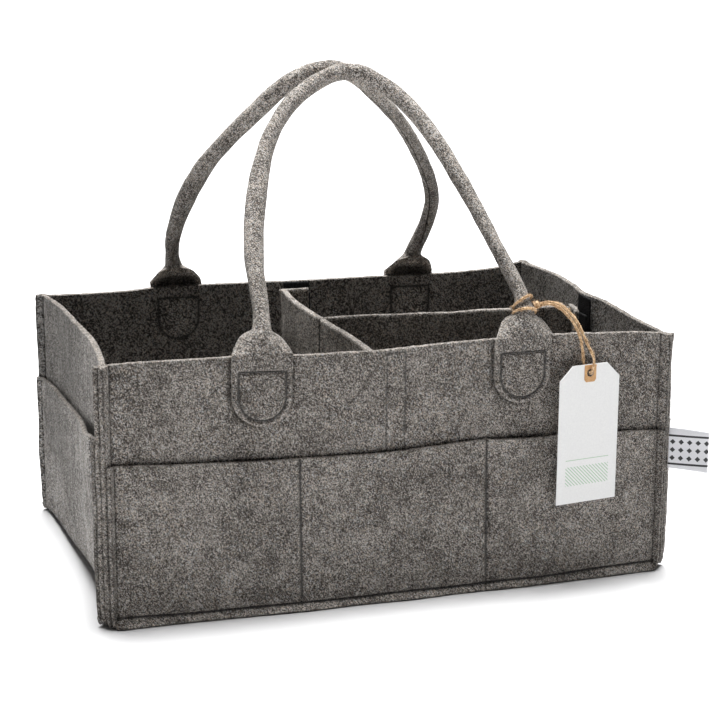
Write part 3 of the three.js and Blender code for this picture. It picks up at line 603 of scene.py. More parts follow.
def end_bow(side, y, z):
    h = np.clip(np.asarray(z, float) / H, 0, 1)
    if side < 0:
        fade = 1 - np.clip(np.abs(y) / SY, 0, 1) ** 3
        return -(2.6 + 3.4 * h) * fade + 0.4 * WALL_WAVE(-300.0, y, z) * fade * h
    fade = 1 - np.clip(np.abs(y) / SY, 0, 1) ** 6
    return RIGHT_BOW(y) * h * fade + 0.35 * WALL_WAVE(300.0, y, z) * fade * h


MOUTH_FRONT = smooth_curve([-190, -180, -146, -112, -65, -19, 30, 60.5, 91, 130, 169, 190], [103.4, 103.0, 101.4, 100.2, 99.6, 98.9, 99.8, 100.5, 99.2, 99.4, 99.0, 98.8])
MOUTH_REAR = smooth_curve([-190, -62, 0, 62, 190], [100.5, 100.2, 99.2, 100.3, 100.2])
MOUTH_LEFT = smooth_curve([-132, -124, -112, -96, -60, 0, 60, 132], [117.5, 118.5, 120.2, 117.0, 110.6, 107.2, 104.9, 103.0])
MOUTH_RIGHT = smooth_curve([-132, -60, 0, 60, 132], [105.5, 104.2, 104.0, 104.6, 105.0])


def pocket_swell(x, z, seams, sizes, skew, top):
    edges = [-SX + 3, *seams, SX - 3]
    out = np.zeros(np.broadcast(x, z).shape)
    for (x0, x1), a, k in zip(zip(edges[:-1], edges[1:]), sizes, skew):
        u = np.clip((x - x0) / (x1 - x0), 0, 1) ** k
        out = out + a * np.sin(np.pi * u) ** 0.9 * ((x > x0) & (x < x1))
    return out * rise(z / top, 0.18, 0.98)


def front_swell(x, z):
    return pocket_swell(x, z, FRONT_SEAMS, (1.4, 1.4, 1.9), (1.0, 1.1, 0.62), 100.0)


def rear_swell(x, z):
    return pocket_swell(x, z, REAR_SEAMS, (1.8, 2.0, 1.9), (1.1, 1.0, 0.9), 100.0)


def left_swell(y, z):
    return (4.8 * bell(y, -96, 48) + 0.9 * bell(y, 50, 40)) * rise(z, 30, 112) * (1 - rise(np.abs(y), 112, 123))


def right_swell(y, z):
    return (2.2 * bell(y, -30, 50) + 1.2 * bell(y, 70, 40)) * rise(z, 30, 104) * (1 - rise(np.abs(y), 92, 114))


def plan(o, d, half, columns, bend=2.6, flange=FLANGE):
    """A wall seen from above: along it, out from its inside face, and how far into the turned-out seam (0 to 1)."""
    crease = half - math.sqrt(2) * d + o
    tl = bend * math.tan(math.pi / 8)
    main = [c for c in columns if abs(c) < crease - tl - 0.6]
    a, b, s = [], [], []
    for c in main:
        a.append(c), b.append(o), s.append(0.0)
    fa, fb, fs = [crease - tl], [o], [0.0]
    for t in np.radians([11, 22, 33, 45]):
        fa.append(crease - tl + bend * math.sin(t))
        fb.append(o + bend * (1 - math.cos(t)))
        fs.append(0.02)
    x0, y0 = fa[-1], fb[-1]
    x1, y1 = half + R2 * (flange - d), R2 * (flange + d)
    for t in (0.2, 0.4, 0.6, 0.8, 1.0):
        fa.append(x0 + (x1 - x0) * t), fb.append(y0 + (y1 - y0) * t), fs.append(t)
    fa, fb, fs = np.array(fa), np.array(fb), np.array(fs)
    a = np.concatenate([-fa[::-1], a, fa])
    b = np.concatenate([fb[::-1], b, fb])
    s = np.concatenate([fs[::-1], s, fs])
    return a, b, s


HEM_WAVE = Waves(33, 24, 70, 12)


def taper(z):
    """The turned-out corner seams run out towards the foot."""
    return 1 - 0.42 * (1 - rise(z, -3, 13))


def hem_height(x, front):
    base = smooth_curve([-190, -150, -60, 0, 90, 150, 190], [6.6, 6.1, 5.1, 5.0, 5.0, 5.8, 6.4]) if front else smooth_curve([-190, 0, 190], [6.5, 5.4, 6.5])
    return base(x) + 0.35 * HEM_WAVE(x, 3.0 if front else 90.0, 0.0)


def long_wall(name, front, o, d, thick, thick_seam, top, lines_a, lines_b, swell=None, extra_x=(), extra_z=(), flange=FLANGE, outlines=(), firm=1.0, sewn=()):
    """A front or rear sheet: the wall, its turned-out corner seams and its turned-out bottom seam."""
    s = -1 if front else 1
    columns = places(-SX, SX, 3.0, extra_x)
    a, b, f = plan(o, d, SX, columns, flange=flange)
    # rows are distances up the sheet from the bottom crease
    hem_rows = np.array([-1.0, -0.86, -0.68, -0.5, -0.34, -0.2, -0.1])
    up_rows = places(0.0, 1.0, 0.02, [(m / (H if top is None else 100.0), h / (H if top is None else 100.0), q / (H if top is None else 100.0)) for m, h, q in extra_z], 0.002)
    up_rows = np.unique(np.concatenate([np.array([0.0, 0.006, 0.014, 0.026, 0.04]), up_rows[up_rows > 0.05]]))
    g_a = np.broadcast_to(a, (len(hem_rows) + len(up_rows), len(a)))
    cz = hem_height(a, front)
    ztop = np.full_like(a, H) if top is None else top(a)
    seam = np.clip(f * 4, 0, 1)
    alpha = np.radians(35.0 + 5.0 * HEM_WAVE(a, 50.0 if front else 140.0, 0.0)) * (1 - seam)
    drop = (cz - (0.35 + 1.0 * seam)) / np.cos(alpha)
    zs, outs, tf = [], [], []
    for h in hem_rows:
        q = h * drop
        zs.append(cz + q * np.cos(alpha))
        outs.append(-q * np.sin(alpha))
        tf.append(1 - 0.3 * (1 - seam) * min(1, -h * 3))
    for h in up_rows:
        soft = 0.35 * np.exp(-((h * (ztop - cz)) / 1.5) ** 2) * np.sin(alpha) * 2
        zs.append(cz + h * (ztop - cz))
        outs.append(soft)
        tf.append(np.ones_like(a) * (1 - 0.26 * math.exp(-((h / 0.012) ** 2)) * (1 - seam)))
    z, out, tf = np.array(zs), np.array(outs), np.array(tf)
    x = g_a.copy()
    bow = front_bow(x, z) if front else rear_bow(x, z)
    field = bow + (swell(x, z) if swell is not None else 0.0)
    run_out = taper(z)
    crease_x = SX - math.sqrt(2) * d + o
    x = np.where(f[None, :] > 0, np.sign(x) * (crease_x + (np.abs(x) - crease_x) * run_out), x)
    out = out + np.where(f[None, :] > 0, o + (b[None, :] - o) * run_out, b[None, :]) + field * (f[None, :] == 0)
    # the seam's cut edges wander and open a little
    ff = f[None, :]
    wander = 0.35 * HEM_WAVE(40.0 * s, z, o) * ff
    sx = np.sign(x)
    x = x + sx * wander * R2 - sx * 0.25 * ff**3 * np.sign(d - 3) * R2
    out = out + wander * R2 + 0.25 * ff**3 * np.sign(d - 3) * R2
    m = np.stack([x, s * (SY + out), z], -1)
    n = normals_of(m)
    if (n[..., 1].mean() * s) < 0:
        n = -n
    t = (thick + (thick_seam - thick) * np.clip(ff * 3, 0, 1)) * tf
    t = t - 0.5 * np.exp(-(((ff - 0.45) / 0.2) ** 2)) * (ff > 0)
    da = line_distance(x, z, lines_a) if lines_a else np.full(x.shape, 99.0)
    db = line_distance(x, z, lines_b) if lines_b else np.full(x.shape, 99.0)
    # painted light on the inside face behind the sewn tabs
    back = np.zeros(x.shape)
    for at, bottom in sewn:
        back += 0.3 * (1 - rise(np.abs(x - at), 9.5, 12)) * rise(z, bottom + 4, bottom + 10) * (1 - rise(z, 153, 157))
    ga, gb = valley(da, 1.25 * firm, 1.0), valley(db, 1.0, 1.1)
    do = line_distance(x, z, outlines) if outlines else np.full(x.shape, 99.0)
    ga = ga + 0.9 * np.exp(-((do / 1.5) ** 2))
    # the crease over the bottom seam is drawn in by its stitches
    crease = np.abs(z - cz[None, :])
    ga = ga + (1.35 * np.exp(-((crease / 0.9) ** 2)) - 0.2 * np.exp(-(((z - cz[None, :] - 3.6) / 1.8) ** 2)))* (1 - seam)[None, :]
    corner = np.abs(np.abs(x) - (SX - math.sqrt(2) * d + o)) * (np.abs(x) > SX - 20)
    ga = ga + 0.95 * np.exp(-((corner / 1.2) ** 2)) * (np.abs(x) > SX - 20)
    af = settle(m + n * (t / 2 - ga)[..., None])
    bf = settle(m - n * (t / 2 - gb)[..., None])
    af[..., 2], bf[..., 2] = np.maximum(af[..., 2], 0.2), np.maximum(bf[..., 2], 0.2)
    line = lambda dist, w: np.exp(-((dist / w) ** 2))
    # painted shade along the stitch lines, round the tabs, in the bottom crease and in the corner seams
    dark = 0.6 * firm * line(da, 0.75) + 0.45 * line(do - 0.8, 1.2) + 0.75 * line(crease, 0.6) * (1 - seam)[None, :] + 0.55 * line(corner, 0.8) * (np.abs(x) > SX - 20)
    # painted shade along the turned-out seam allowance's cut edges
    painted_lip_shading = 0.5 * (np.abs(ff) > 0.99)
    # painted light on the front hem strip below its crease
    lift = (0.75 if front else 0.0) * rise(cz[None, :] - z, 0.6, 2.4) * (1 - seam)[None, :]
    # inside face: painted shade along the stitch lines and seam allowance edges, painted light behind the tabs
    return felt_sheet(name, af, bf, [FELT_MAT, EDGE_MAT, INSIDE_MAT], painted_shading_a=lift - np.clip(dark + painted_lip_shading, 0, 0.7), painted_shading_b=back - np.clip(0.7 * line(db, 1.0) + painted_lip_shading, 0, 0.75))


def tab_outline(tx, r=15.2, bottom=127.2, top=156.0):
    z0 = bottom + r
    pts = [(tx + r * math.cos(q), z0 + r * math.sin(q)) for q in np.linspace(math.pi, 2 * math.pi, 19)]
    return [(tx - r, top)] + pts + [(tx + r, top), (tx - r, top)]


def tab_edge(tx, r=19.25, bottom=125.0, top=164.0):
    z0 = bottom + r
    pts = [(tx + r * math.cos(q), z0 + r * math.sin(q)) for q in np.linspace(math.pi, 2 * math.pi, 25)]
    return [(tx - r, top)] + pts + [(tx + r, top)]


def tape_outline(x, low=101.0, high=162.6):
    return [(x - 6.2, low), (x - 6.2, high), (x + 6.2, high), (x + 6.2, low)]


def pocket_lines(seams, low=7.0, high=99.0):
    return [[(x, low), (x, high)] for x in seams]


FRONT_LOW, REAR_LOW = (121.4, 122.8), (121.2, 121.6)  # lower ends of the tabs
FRONT_D = [tab_outline(t, bottom=z + 3.7) for t, z in zip(FRONT_TABS, FRONT_LOW)]
REAR_D = [tab_outline(t, bottom=z + 3.7) for t, z in zip(REAR_TABS, REAR_LOW)]
front_tape_line = [tape_outline(FRONT_TAPE_X, 30.0)]
rear_tape_line = [tape_outline(REAR_TAPE_X, 30.0)]
d_x = lambda tabs: [(t, 22.5, 0.9) for t in tabs]
near = lambda xs: [(x, 2.4, 0.6) for x in xs]

front_panel = long_wall(
    "felt_front_panel", True, 2.0, 2.0, FELT, 3.7, None, front_tape_line, FRONT_D + pocket_lines(FRONT_SEAMS),
    extra_x=d_x(FRONT_TABS) + near((-7.2, 5.2, *FRONT_SEAMS)), extra_z=[(139.5, 21.5, 1.0), (162.6, 2.0, 0.6)], outlines=[tab_edge(t, bottom=z) for t, z in zip(FRONT_TABS, FRONT_LOW)], firm=0.5,
)
rear_panel = long_wall(
    "felt_rear_panel", False, 2.0, 2.0, FELT, 3.7, None, rear_tape_line, REAR_D + pocket_lines(REAR_SEAMS),
    extra_x=d_x(REAR_TABS) + near((-4.2, 8.2, *REAR_SEAMS)), extra_z=[(139.5, 21.5, 1.0), (162.6, 2.0, 0.6)], outlines=[tab_edge(t, bottom=z) for t, z in zip(REAR_TABS, REAR_LOW)], firm=0.5, sewn=list(zip(REAR_TABS, REAR_LOW)),
)
front_pocket = long_wall(
    "felt_front_pocket", True, 5.9, 5.55, POCKET, 2.8, MOUTH_FRONT, pocket_lines(FRONT_SEAMS, 4.0, 101.0), pocket_lines(FRONT_SEAMS, 4.0, 101.0),
    swell=front_swell, extra_x=near(FRONT_SEAMS), extra_z=[(97.5, 2.4, 0.8)], flange=FLANGE - 0.4,
)
rear_pocket = long_wall(
    "felt_rear_pocket", False, 5.9, 5.55, POCKET, 2.8, MOUTH_REAR, pocket_lines(REAR_SEAMS, 4.0, 101.0), pocket_lines(REAR_SEAMS, 4.0, 101.0),
    swell=rear_swell, extra_x=near(REAR_SEAMS), extra_z=[(97.5, 2.4, 0.8)], flange=FLANGE - 0.3,
)


# ------------------------------------------------------------------ the folded strip: base and both ends
FOLD_Z = FOLD_R + FELT


def strip_rows(side, o, zs, turns, columns_plan, swell=None, top=None):
    """Rows of an end wall from its top edge down and round its foot."""
    a, b, f = columns_plan
    rows = []
    radius = FOLD_R + o
    for k in zs:
        z = FOLD_Z + (top(a) - FOLD_Z) * k if top is not None else np.full_like(a, FOLD_Z + (H - FOLD_Z) * k)
        push = end_bow(side, a, z) * (f == 0)
        if swell is not None:
            push = push + swell(a, z) * (f == 0)
        wander = 0.35 * HEM_WAVE(300.0 * side, z, o) * f
        k_out = taper(z)
        crease = np.abs(a[f == 0]).max()
        at = np.where(f > 0, np.sign(a) * (crease + (np.abs(a) - crease) * k_out), a)
        off = np.where(f > 0, o + (b - o) * k_out, b)
        rows.append(np.stack([side * (SX + off + push + wander * R2), at + np.sign(a) * wander * R2, z], -1))
    for turn in turns:
        t = math.radians(turn)
        keep = 1 - rise(turn, 30, 85)
        crease = a[f == 0].max()
        limit = SY - 0.5
        flat = np.sign(a) * np.where(f > 0, limit - 2.0 + 2.0 * f, np.abs(a) * (limit - 2.2) / crease)
        k_out = float(taper(FOLD_Z))
        at = np.where(f > 0, np.sign(a) * (crease + (np.abs(a) - crease) * k_out), a)
        y = at * keep + flat * (1 - keep)
        bb = o + (b - o) * keep * k_out
        push = end_bow(side, np.clip(a, -crease, crease), FOLD_Z) * (f == 0)
        x = SX + bb + push - radius * (1 - math.cos(t))
        rows.append(np.stack([side * x, y, np.full_like(a, FOLD_Z - radius * math.sin(t))], -1))
    return rows


end_columns = places(-SY, SY, 3.2, [(END_TAPE_Y - 6.2, 2.4, 0.6), (END_TAPE_Y + 6.2, 2.4, 0.6)])
end_plan = plan(2.0, 2.0, SY, end_columns)
wall_zs = np.concatenate([1 - np.array([0, 0.007, 0.014, 0.021, 0.03]), np.linspace(0.96, 0.0, 50)])
left_rows = strip_rows(-1, 2.0, wall_zs, [10, 20, 30, 40, 52, 64, 77, 90], end_plan)
right_rows = strip_rows(1, 2.0, wall_zs, [10, 20, 30, 40, 52, 64, 77, 90], end_plan)
base_rows = []
for u in np.linspace(0, 1, 62)[1:-1]:
    row = left_rows[-1] * (1 - u) + right_rows[-1] * u
    x = row[:, 0]
    edge = np.abs(row[:, 1]) / SY
    reach = np.where(row[:, 1] < 0, -front_bow(x, 2.0), rear_bow(x, 2.0))
    row[:, 1] += reach * edge**6
    base_rows.append(row)
strip = np.array(left_rows + base_rows + right_rows[::-1])
n = normals_of(strip)
middle_row = len(left_rows) + 30
if n[middle_row, strip.shape[1] // 2, 2] > 0:
    n = -n
ff = np.broadcast_to(end_plan[2], strip.shape[:2])
t = FELT + (3.7 - FELT) * np.clip(ff * 3, 0, 1) - 0.5 * np.exp(-(((ff - 0.45) / 0.2) ** 2)) * (ff > 0)
end_tape_line = [[(END_TAPE_Y - 6.2, 60.0), (END_TAPE_Y - 6.2, 162.0), (END_TAPE_Y + 6.2, 162.0), (END_TAPE_Y + 6.2, 60.0)]]
groove = valley(line_distance(strip[..., 1], strip[..., 2], end_tape_line), 0.9) * (strip[..., 0] > 150)
corner = np.abs(np.abs(strip[..., 1]) - (SY - math.sqrt(2) * 2.0 + 2.0))
on_end = (np.abs(strip[..., 0]) > 180) * (strip[..., 2] > 8)
groove = groove + 0.8 * np.exp(-((corner / 1.2) ** 2)) * on_end
over_mouth = strip[..., 2] - MOUTH_LEFT(strip[..., 1])
# painted shadow on the left wall just above the pocket's mouth, towards the front
painted_gap_shadow = (1 - rise(over_mouth, 0.0, 5.5)) * (1 - rise(strip[..., 1], -50, -12)) * rise(strip[..., 1], -121, -112)
left_face = (strip[..., 0] < -180) * (strip[..., 2] > 8)
# painted shade over the rear of the left wall above the pocket, in the corner seams and along the seam allowances' cut
# edges
strip_painted_shading = -0.93 * painted_gap_shadow * left_face - 0.42 * rise(strip[..., 1], -50, 25) * left_face * (over_mouth > 0) - 0.5 * np.exp(-((corner / 0.9) ** 2)) * on_end - 0.5 * (np.abs(ff) > 0.99) * on_end
# painted light on the foot of the left end, near the floor
strip_painted_shading = strip_painted_shading + 0.8 * (1 - rise(strip[..., 2], 6, 24)) * (strip[..., 0] < -165) * (1 - rise(np.abs(strip[..., 1]), 104, 114))
strip_out, strip_in = settle(strip + n * (t / 2 - groove)[..., None]), settle(strip - n * (t / 2)[..., None])
strip_out[..., 2] = np.maximum(strip_out[..., 2], 0.15)
strip_in[..., 2] = np.maximum(strip_in[..., 2], 0.3)
# inside face: painted shade along the seam allowance edges and over the box floor
base_and_ends = felt_sheet("felt_base_and_ends", strip_out, strip_in, [END_MAT, EDGE_MAT, INSIDE_MAT], painted_shading_a=strip_painted_shading, painted_shading_b=-0.5 * (np.abs(ff) > 0.99) * on_end - 0.28 * (strip[..., 2] < 8))


def end_pocket(name, side, top, swell):
    pl = plan(5.9, 5.55, SY, places(-SY, SY, 3.2), flange=FLANGE - 0.5)
    zs = np.concatenate([1 - np.array([0, 0.01, 0.022, 0.04]), np.linspace(0.93, 0.0, 32)])
    rows = np.array(strip_rows(side, 5.9, zs, [7, 14, 21, 28, 36], pl, swell, top))
    nn = normals_of(rows)
    if (nn[..., 0].mean() * side) < 0:
        nn = -nn
    f2 = np.broadcast_to(pl[2], rows.shape[:2])
    tt = POCKET + (2.8 - POCKET) * np.clip(f2 * 3, 0, 1) - 0.4 * np.exp(-(((f2 - 0.45) / 0.2) ** 2)) * (f2 > 0)
    cc = np.abs(np.abs(rows[..., 1]) - (SY - math.sqrt(2) * 5.55 + 5.9))
    g = 0.8 * np.exp(-((cc / 1.2) ** 2)) * (rows[..., 2] > 8)
    painted_lip_shading = 0.5 * (np.abs(f2) > 0.99)
    # painted shade on the pocket's inner face, deepening up to the mouth
    inside = -0.6 * np.clip((rows[..., 2] - 60) / 44, 0, 1)
    # painted light towards the front and the foot of the left pocket, painted shade over its upper rear (left pocket
    # only)
    lit = 0.36 * (1 - rise(rows[..., 1], -70, 5)) - 0.34 * rise(rows[..., 1], -20, 60) * rise(rows[..., 2], 30, 75) + 0.2 * (1 - rise(rows[..., 2], 20, 60))
    lit = lit * (1 - rise(np.abs(rows[..., 1]), 108, 116)) * (side < 0)
    # painted shade in the corner seams, along the seam allowance edges and on all cut edges
    return felt_sheet(name, settle(rows + nn * (tt / 2 - g)[..., None]), settle(rows - nn * (tt / 2)[..., None]), [END_MAT, EDGE_MAT], painted_shading_a=lit - 0.5 * np.exp(-((cc / 0.9) ** 2)) - painted_lip_shading, painted_shading_b=np.minimum(inside, -painted_lip_shading), painted_shading_edge=np.full(cc.shape, -0.2))


left_pocket = end_pocket("felt_left_pocket", -1, MOUTH_LEFT, left_swell)
right_pocket = end_pocket("felt_right_pocket", 1, MOUTH_RIGHT, right_swell)

for o, node, flat in (
    (front_panel, "front_panel", (0.392, 0.172)),
    (rear_panel, "rear_panel", (0.392, 0.172)),
    (front_pocket, "front_pocket", (0.392, 0.108)),
    (rear_pocket, "rear_pocket", (0.392, 0.108)),
    (left_pocket, "left_pocket", (0.262, 0.108)),
    (right_pocket, "right_pocket", (0.262, 0.108)),
    (base_and_ends, "base_and_ends", (0.262, 0.700)),
):
    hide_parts(node)
    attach(o, "caddy")


# ------------------------------------------------------------------ stitching on the walls
def on_front(off):
    def at(x, z, h):
        y = -(SY + front_bow(x, z) + off + h)
        return settle(np.stack([x, y, np.broadcast_to(z, np.shape(x))], -1))

    return at


def on_rear(off):
    def at(x, z, h):
        y = SY + rear_bow(x, z) + off + h
        return settle(np.stack([x, y, np.broadcast_to(z, np.shape(x))], -1))

    return at


def flipped(at):
    """Stitching on the inside face: h counts inwards."""
    return lambda x, z, h: at(x, z, -np.asarray(h))


def pocket_at(front):
    swell, bow, s = (front_swell, front_bow, -1) if front else (rear_swell, rear_bow, 1)

    def at(x, z, h):
        y = s * (SY + bow(x, z) + swell(x, z) + 7.5 + h)
        return settle(np.stack([x, y, np.broadcast_to(z, np.shape(x))], -1))

    return at


def add_stitches(name, node, runs, body="caddy"):
    o = tubes(name, runs, THREAD_MAT)
    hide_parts(node)
    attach(o, body)
    return o


for side, front, seams, tape_x, d_lines in (
    ("front", True, FRONT_SEAMS, FRONT_TAPE_X, FRONT_D),
    ("rear", False, REAR_SEAMS, REAR_TAPE_X, REAR_D),
):
    wall = on_front if front else on_rear
    s = -1 if front else 1
    xs = np.linspace(-SX + 9, SX - 9, 160)

    def hem_at(x, z, h, front=front, s=s):
        bow = front_bow if front else rear_bow
        cz = hem_height(x, front)
        y = s * (SY + bow(x, cz) + 7.5 + 0.15 + h)
        return settle(np.stack([x, y, cz + z], -1))

    add_stitches("stitches_" + side + "_base_seam", side + "_base_seam_thread", stitch_runs(np.stack([xs, np.zeros_like(xs)], 1), hem_at, low=-0.9, high=-0.45))
    for x, which in zip(seams, ("left", "right")):
        line = [(x, 8.0), (x, 98.0)]
        runs = stitch_runs(line, pocket_at(front), low=-1.0, high=-0.5) + stitch_runs(line, flipped(wall(0.0)), low=-0.7, high=-0.25)
        add_stitches(f"stitches_{side}_pocket_seam_{which}", f"{side}_pocket_seam_thread_{which}", runs)
    line = tape_outline(tape_x)
    add_stitches(f"stitches_{side}_tape", f"{side}_tape_thread", stitch_runs(line, wall(FELT), low=-0.95, high=-0.45))
    for line, which in zip(d_lines, ("left", "right")):
        runs = stitch_runs(line, wall(FELT + GAP + FELT), low=-0.9, high=-0.4) + stitch_runs(line, flipped(wall(0.0)), low=-0.7, high=-0.2)
        add_stitches(f"stitches_{side}_tab_{which}", f"{side}_tab_thread_{which}", runs)


def on_right_end(y, z, h):
    return settle(np.stack([SX + end_bow(1, y, z) + FELT + h, y, np.broadcast_to(z, np.shape(y))], -1))


add_stitches("stitches_end_tape", "end_tape_thread", stitch_runs([(END_TAPE_Y - 6.2, 107.0), (END_TAPE_Y - 6.2, 162.0), (END_TAPE_Y + 6.2, 162.0), (END_TAPE_Y + 6.2, 107.0)], on_right_end, low=-0.9, high=-0.4))

for name, sx, sy in (("front_left", -1, -1), ("front_right", 1, -1), ("rear_left", -1, 1), ("rear_right", 1, 1)):

    def corner_at(side_face):
        # side_face 0: on the long wall's seam face, 1: on the end wall's
        def at(u, z, h):
            z = np.asarray(z, float)
            k = 1 - rise(z, 100.0, 106.0)
            d = (0.15 + 3.7) * (1 - k) + 6.95 * k + np.asarray(h)
            along = np.asarray(u, float) * taper(z)
            if side_face == 0:
                p = np.stack([sx * (SX - R2 * d + R2 * along), sy * (SY + R2 * d + R2 * along), z], -1)
            else:
                p = np.stack([sx * (SX + R2 * d + R2 * along), sy * (SY - R2 * d + R2 * along), z], -1)
            return settle(p)

        return at

    line = [(4.9, 6.0), (4.9, 163.0)]
    runs = stitch_runs(line, corner_at(0), low=-1.3, high=-0.8, radius=0.36) + stitch_runs(line, corner_at(1), low=-1.3, high=-0.8, radius=0.36)
    add_stitches(f"stitches_{name}_corner", f"{name}_corner_thread", runs)


# ------------------------------------------------------------------ handles
FRONT_LINE = [
    (-89, 126.6, 157.5), (-88.8, 126.6, 163), (-88.4, 126.2, 168.5), (-87.2, 120.6, 178.5), (-85, 108.4, 192), (-84.3, 99.4, 204),
    (-83.4, 86.6, 221.2), (-79.9, 73.7, 238.8), (-75.5, 62.4, 254.2), (-70.8, 52.6, 267.4), (-60, 36.8, 289), (-43.7, 22.5, 308.4),
    (-24, 12.6, 321.3), (-5, 7.4, 328.6), (9.2, 7.4, 328.9), (22.5, 12.2, 322.4), (36.8, 20.7, 310.9), (50.3, 34.6, 291.9),
    (60.2, 49.3, 272), (69.7, 66, 249.3), (78.6, 85.1, 223.3), (86.6, 101.2, 201.3), (89, 109.5, 190.5), (87.6, 120.6, 178.5),
    (85.8, 126.2, 168.5), (84.4, 126.6, 163), (84, 126.6, 157.5),
]
REAR_LINE = [
    (-88.5, 126.6, 157.5), (-88.7, 126.6, 163), (-89.3, 126.2, 168.5), (-91.6, 120.4, 178.5), (-95.6, 107, 193.5), (-96, 97.1, 206.9),
    (-91.4, 76.3, 235.3), (-80.5, 56.4, 262.3), (-68.1, 43.3, 280.1), (-51.9, 28.6, 300.3), (-35.6, 16.2, 318), (-20.2, 9.2, 327.6),
    (-7.6, 7.4, 330.4), (8.6, 9.6, 327), (31.3, 20.9, 310.6), (50.8, 33.4, 293.6), (71.4, 50.9, 269.8), (89.2, 70.3, 243.4),
    (96.9, 84.6, 224), (97.2, 98.4, 205.2), (94.8, 108.5, 191.5), (93.1, 120.4, 178.5), (93.4, 126.2, 168.5), (93.6, 126.6, 163),
    (93.5, 126.6, 157.5),
]
TAB_W = 38.5
TUBE_R = 4.4  # middle of the rolled felt
TUBE_FELT = 3.0
# how far the strip has rolled up, in degrees, and its width, at a distance from the fold
CURL = smooth_curve([-40, 4, 8, 10.2, 13.8, 17.2, 19.2, 20.3, 21.3, 24, 30, 38, 60], [0, 0, 5, 50, 110, 170, 240, 296, 334, 346, 350, 350, 350])
STRIP_W = smooth_curve([-40, 6, 8, 10.2, 13.8, 17.2, 19.2, 20.3, 21.3, 24, 30, 38, 60], [38.5, 38.5, 38.3, 36.4, 33.9, 32.4, 31.6, 31.0, 30.4, 28.4, 26.9, 26.9, 26.9])
HANDLE_WAVE = Waves(61, 30, 90, 12)


FLAT_ALONG = np.array([0.296, 0.926, -0.236])


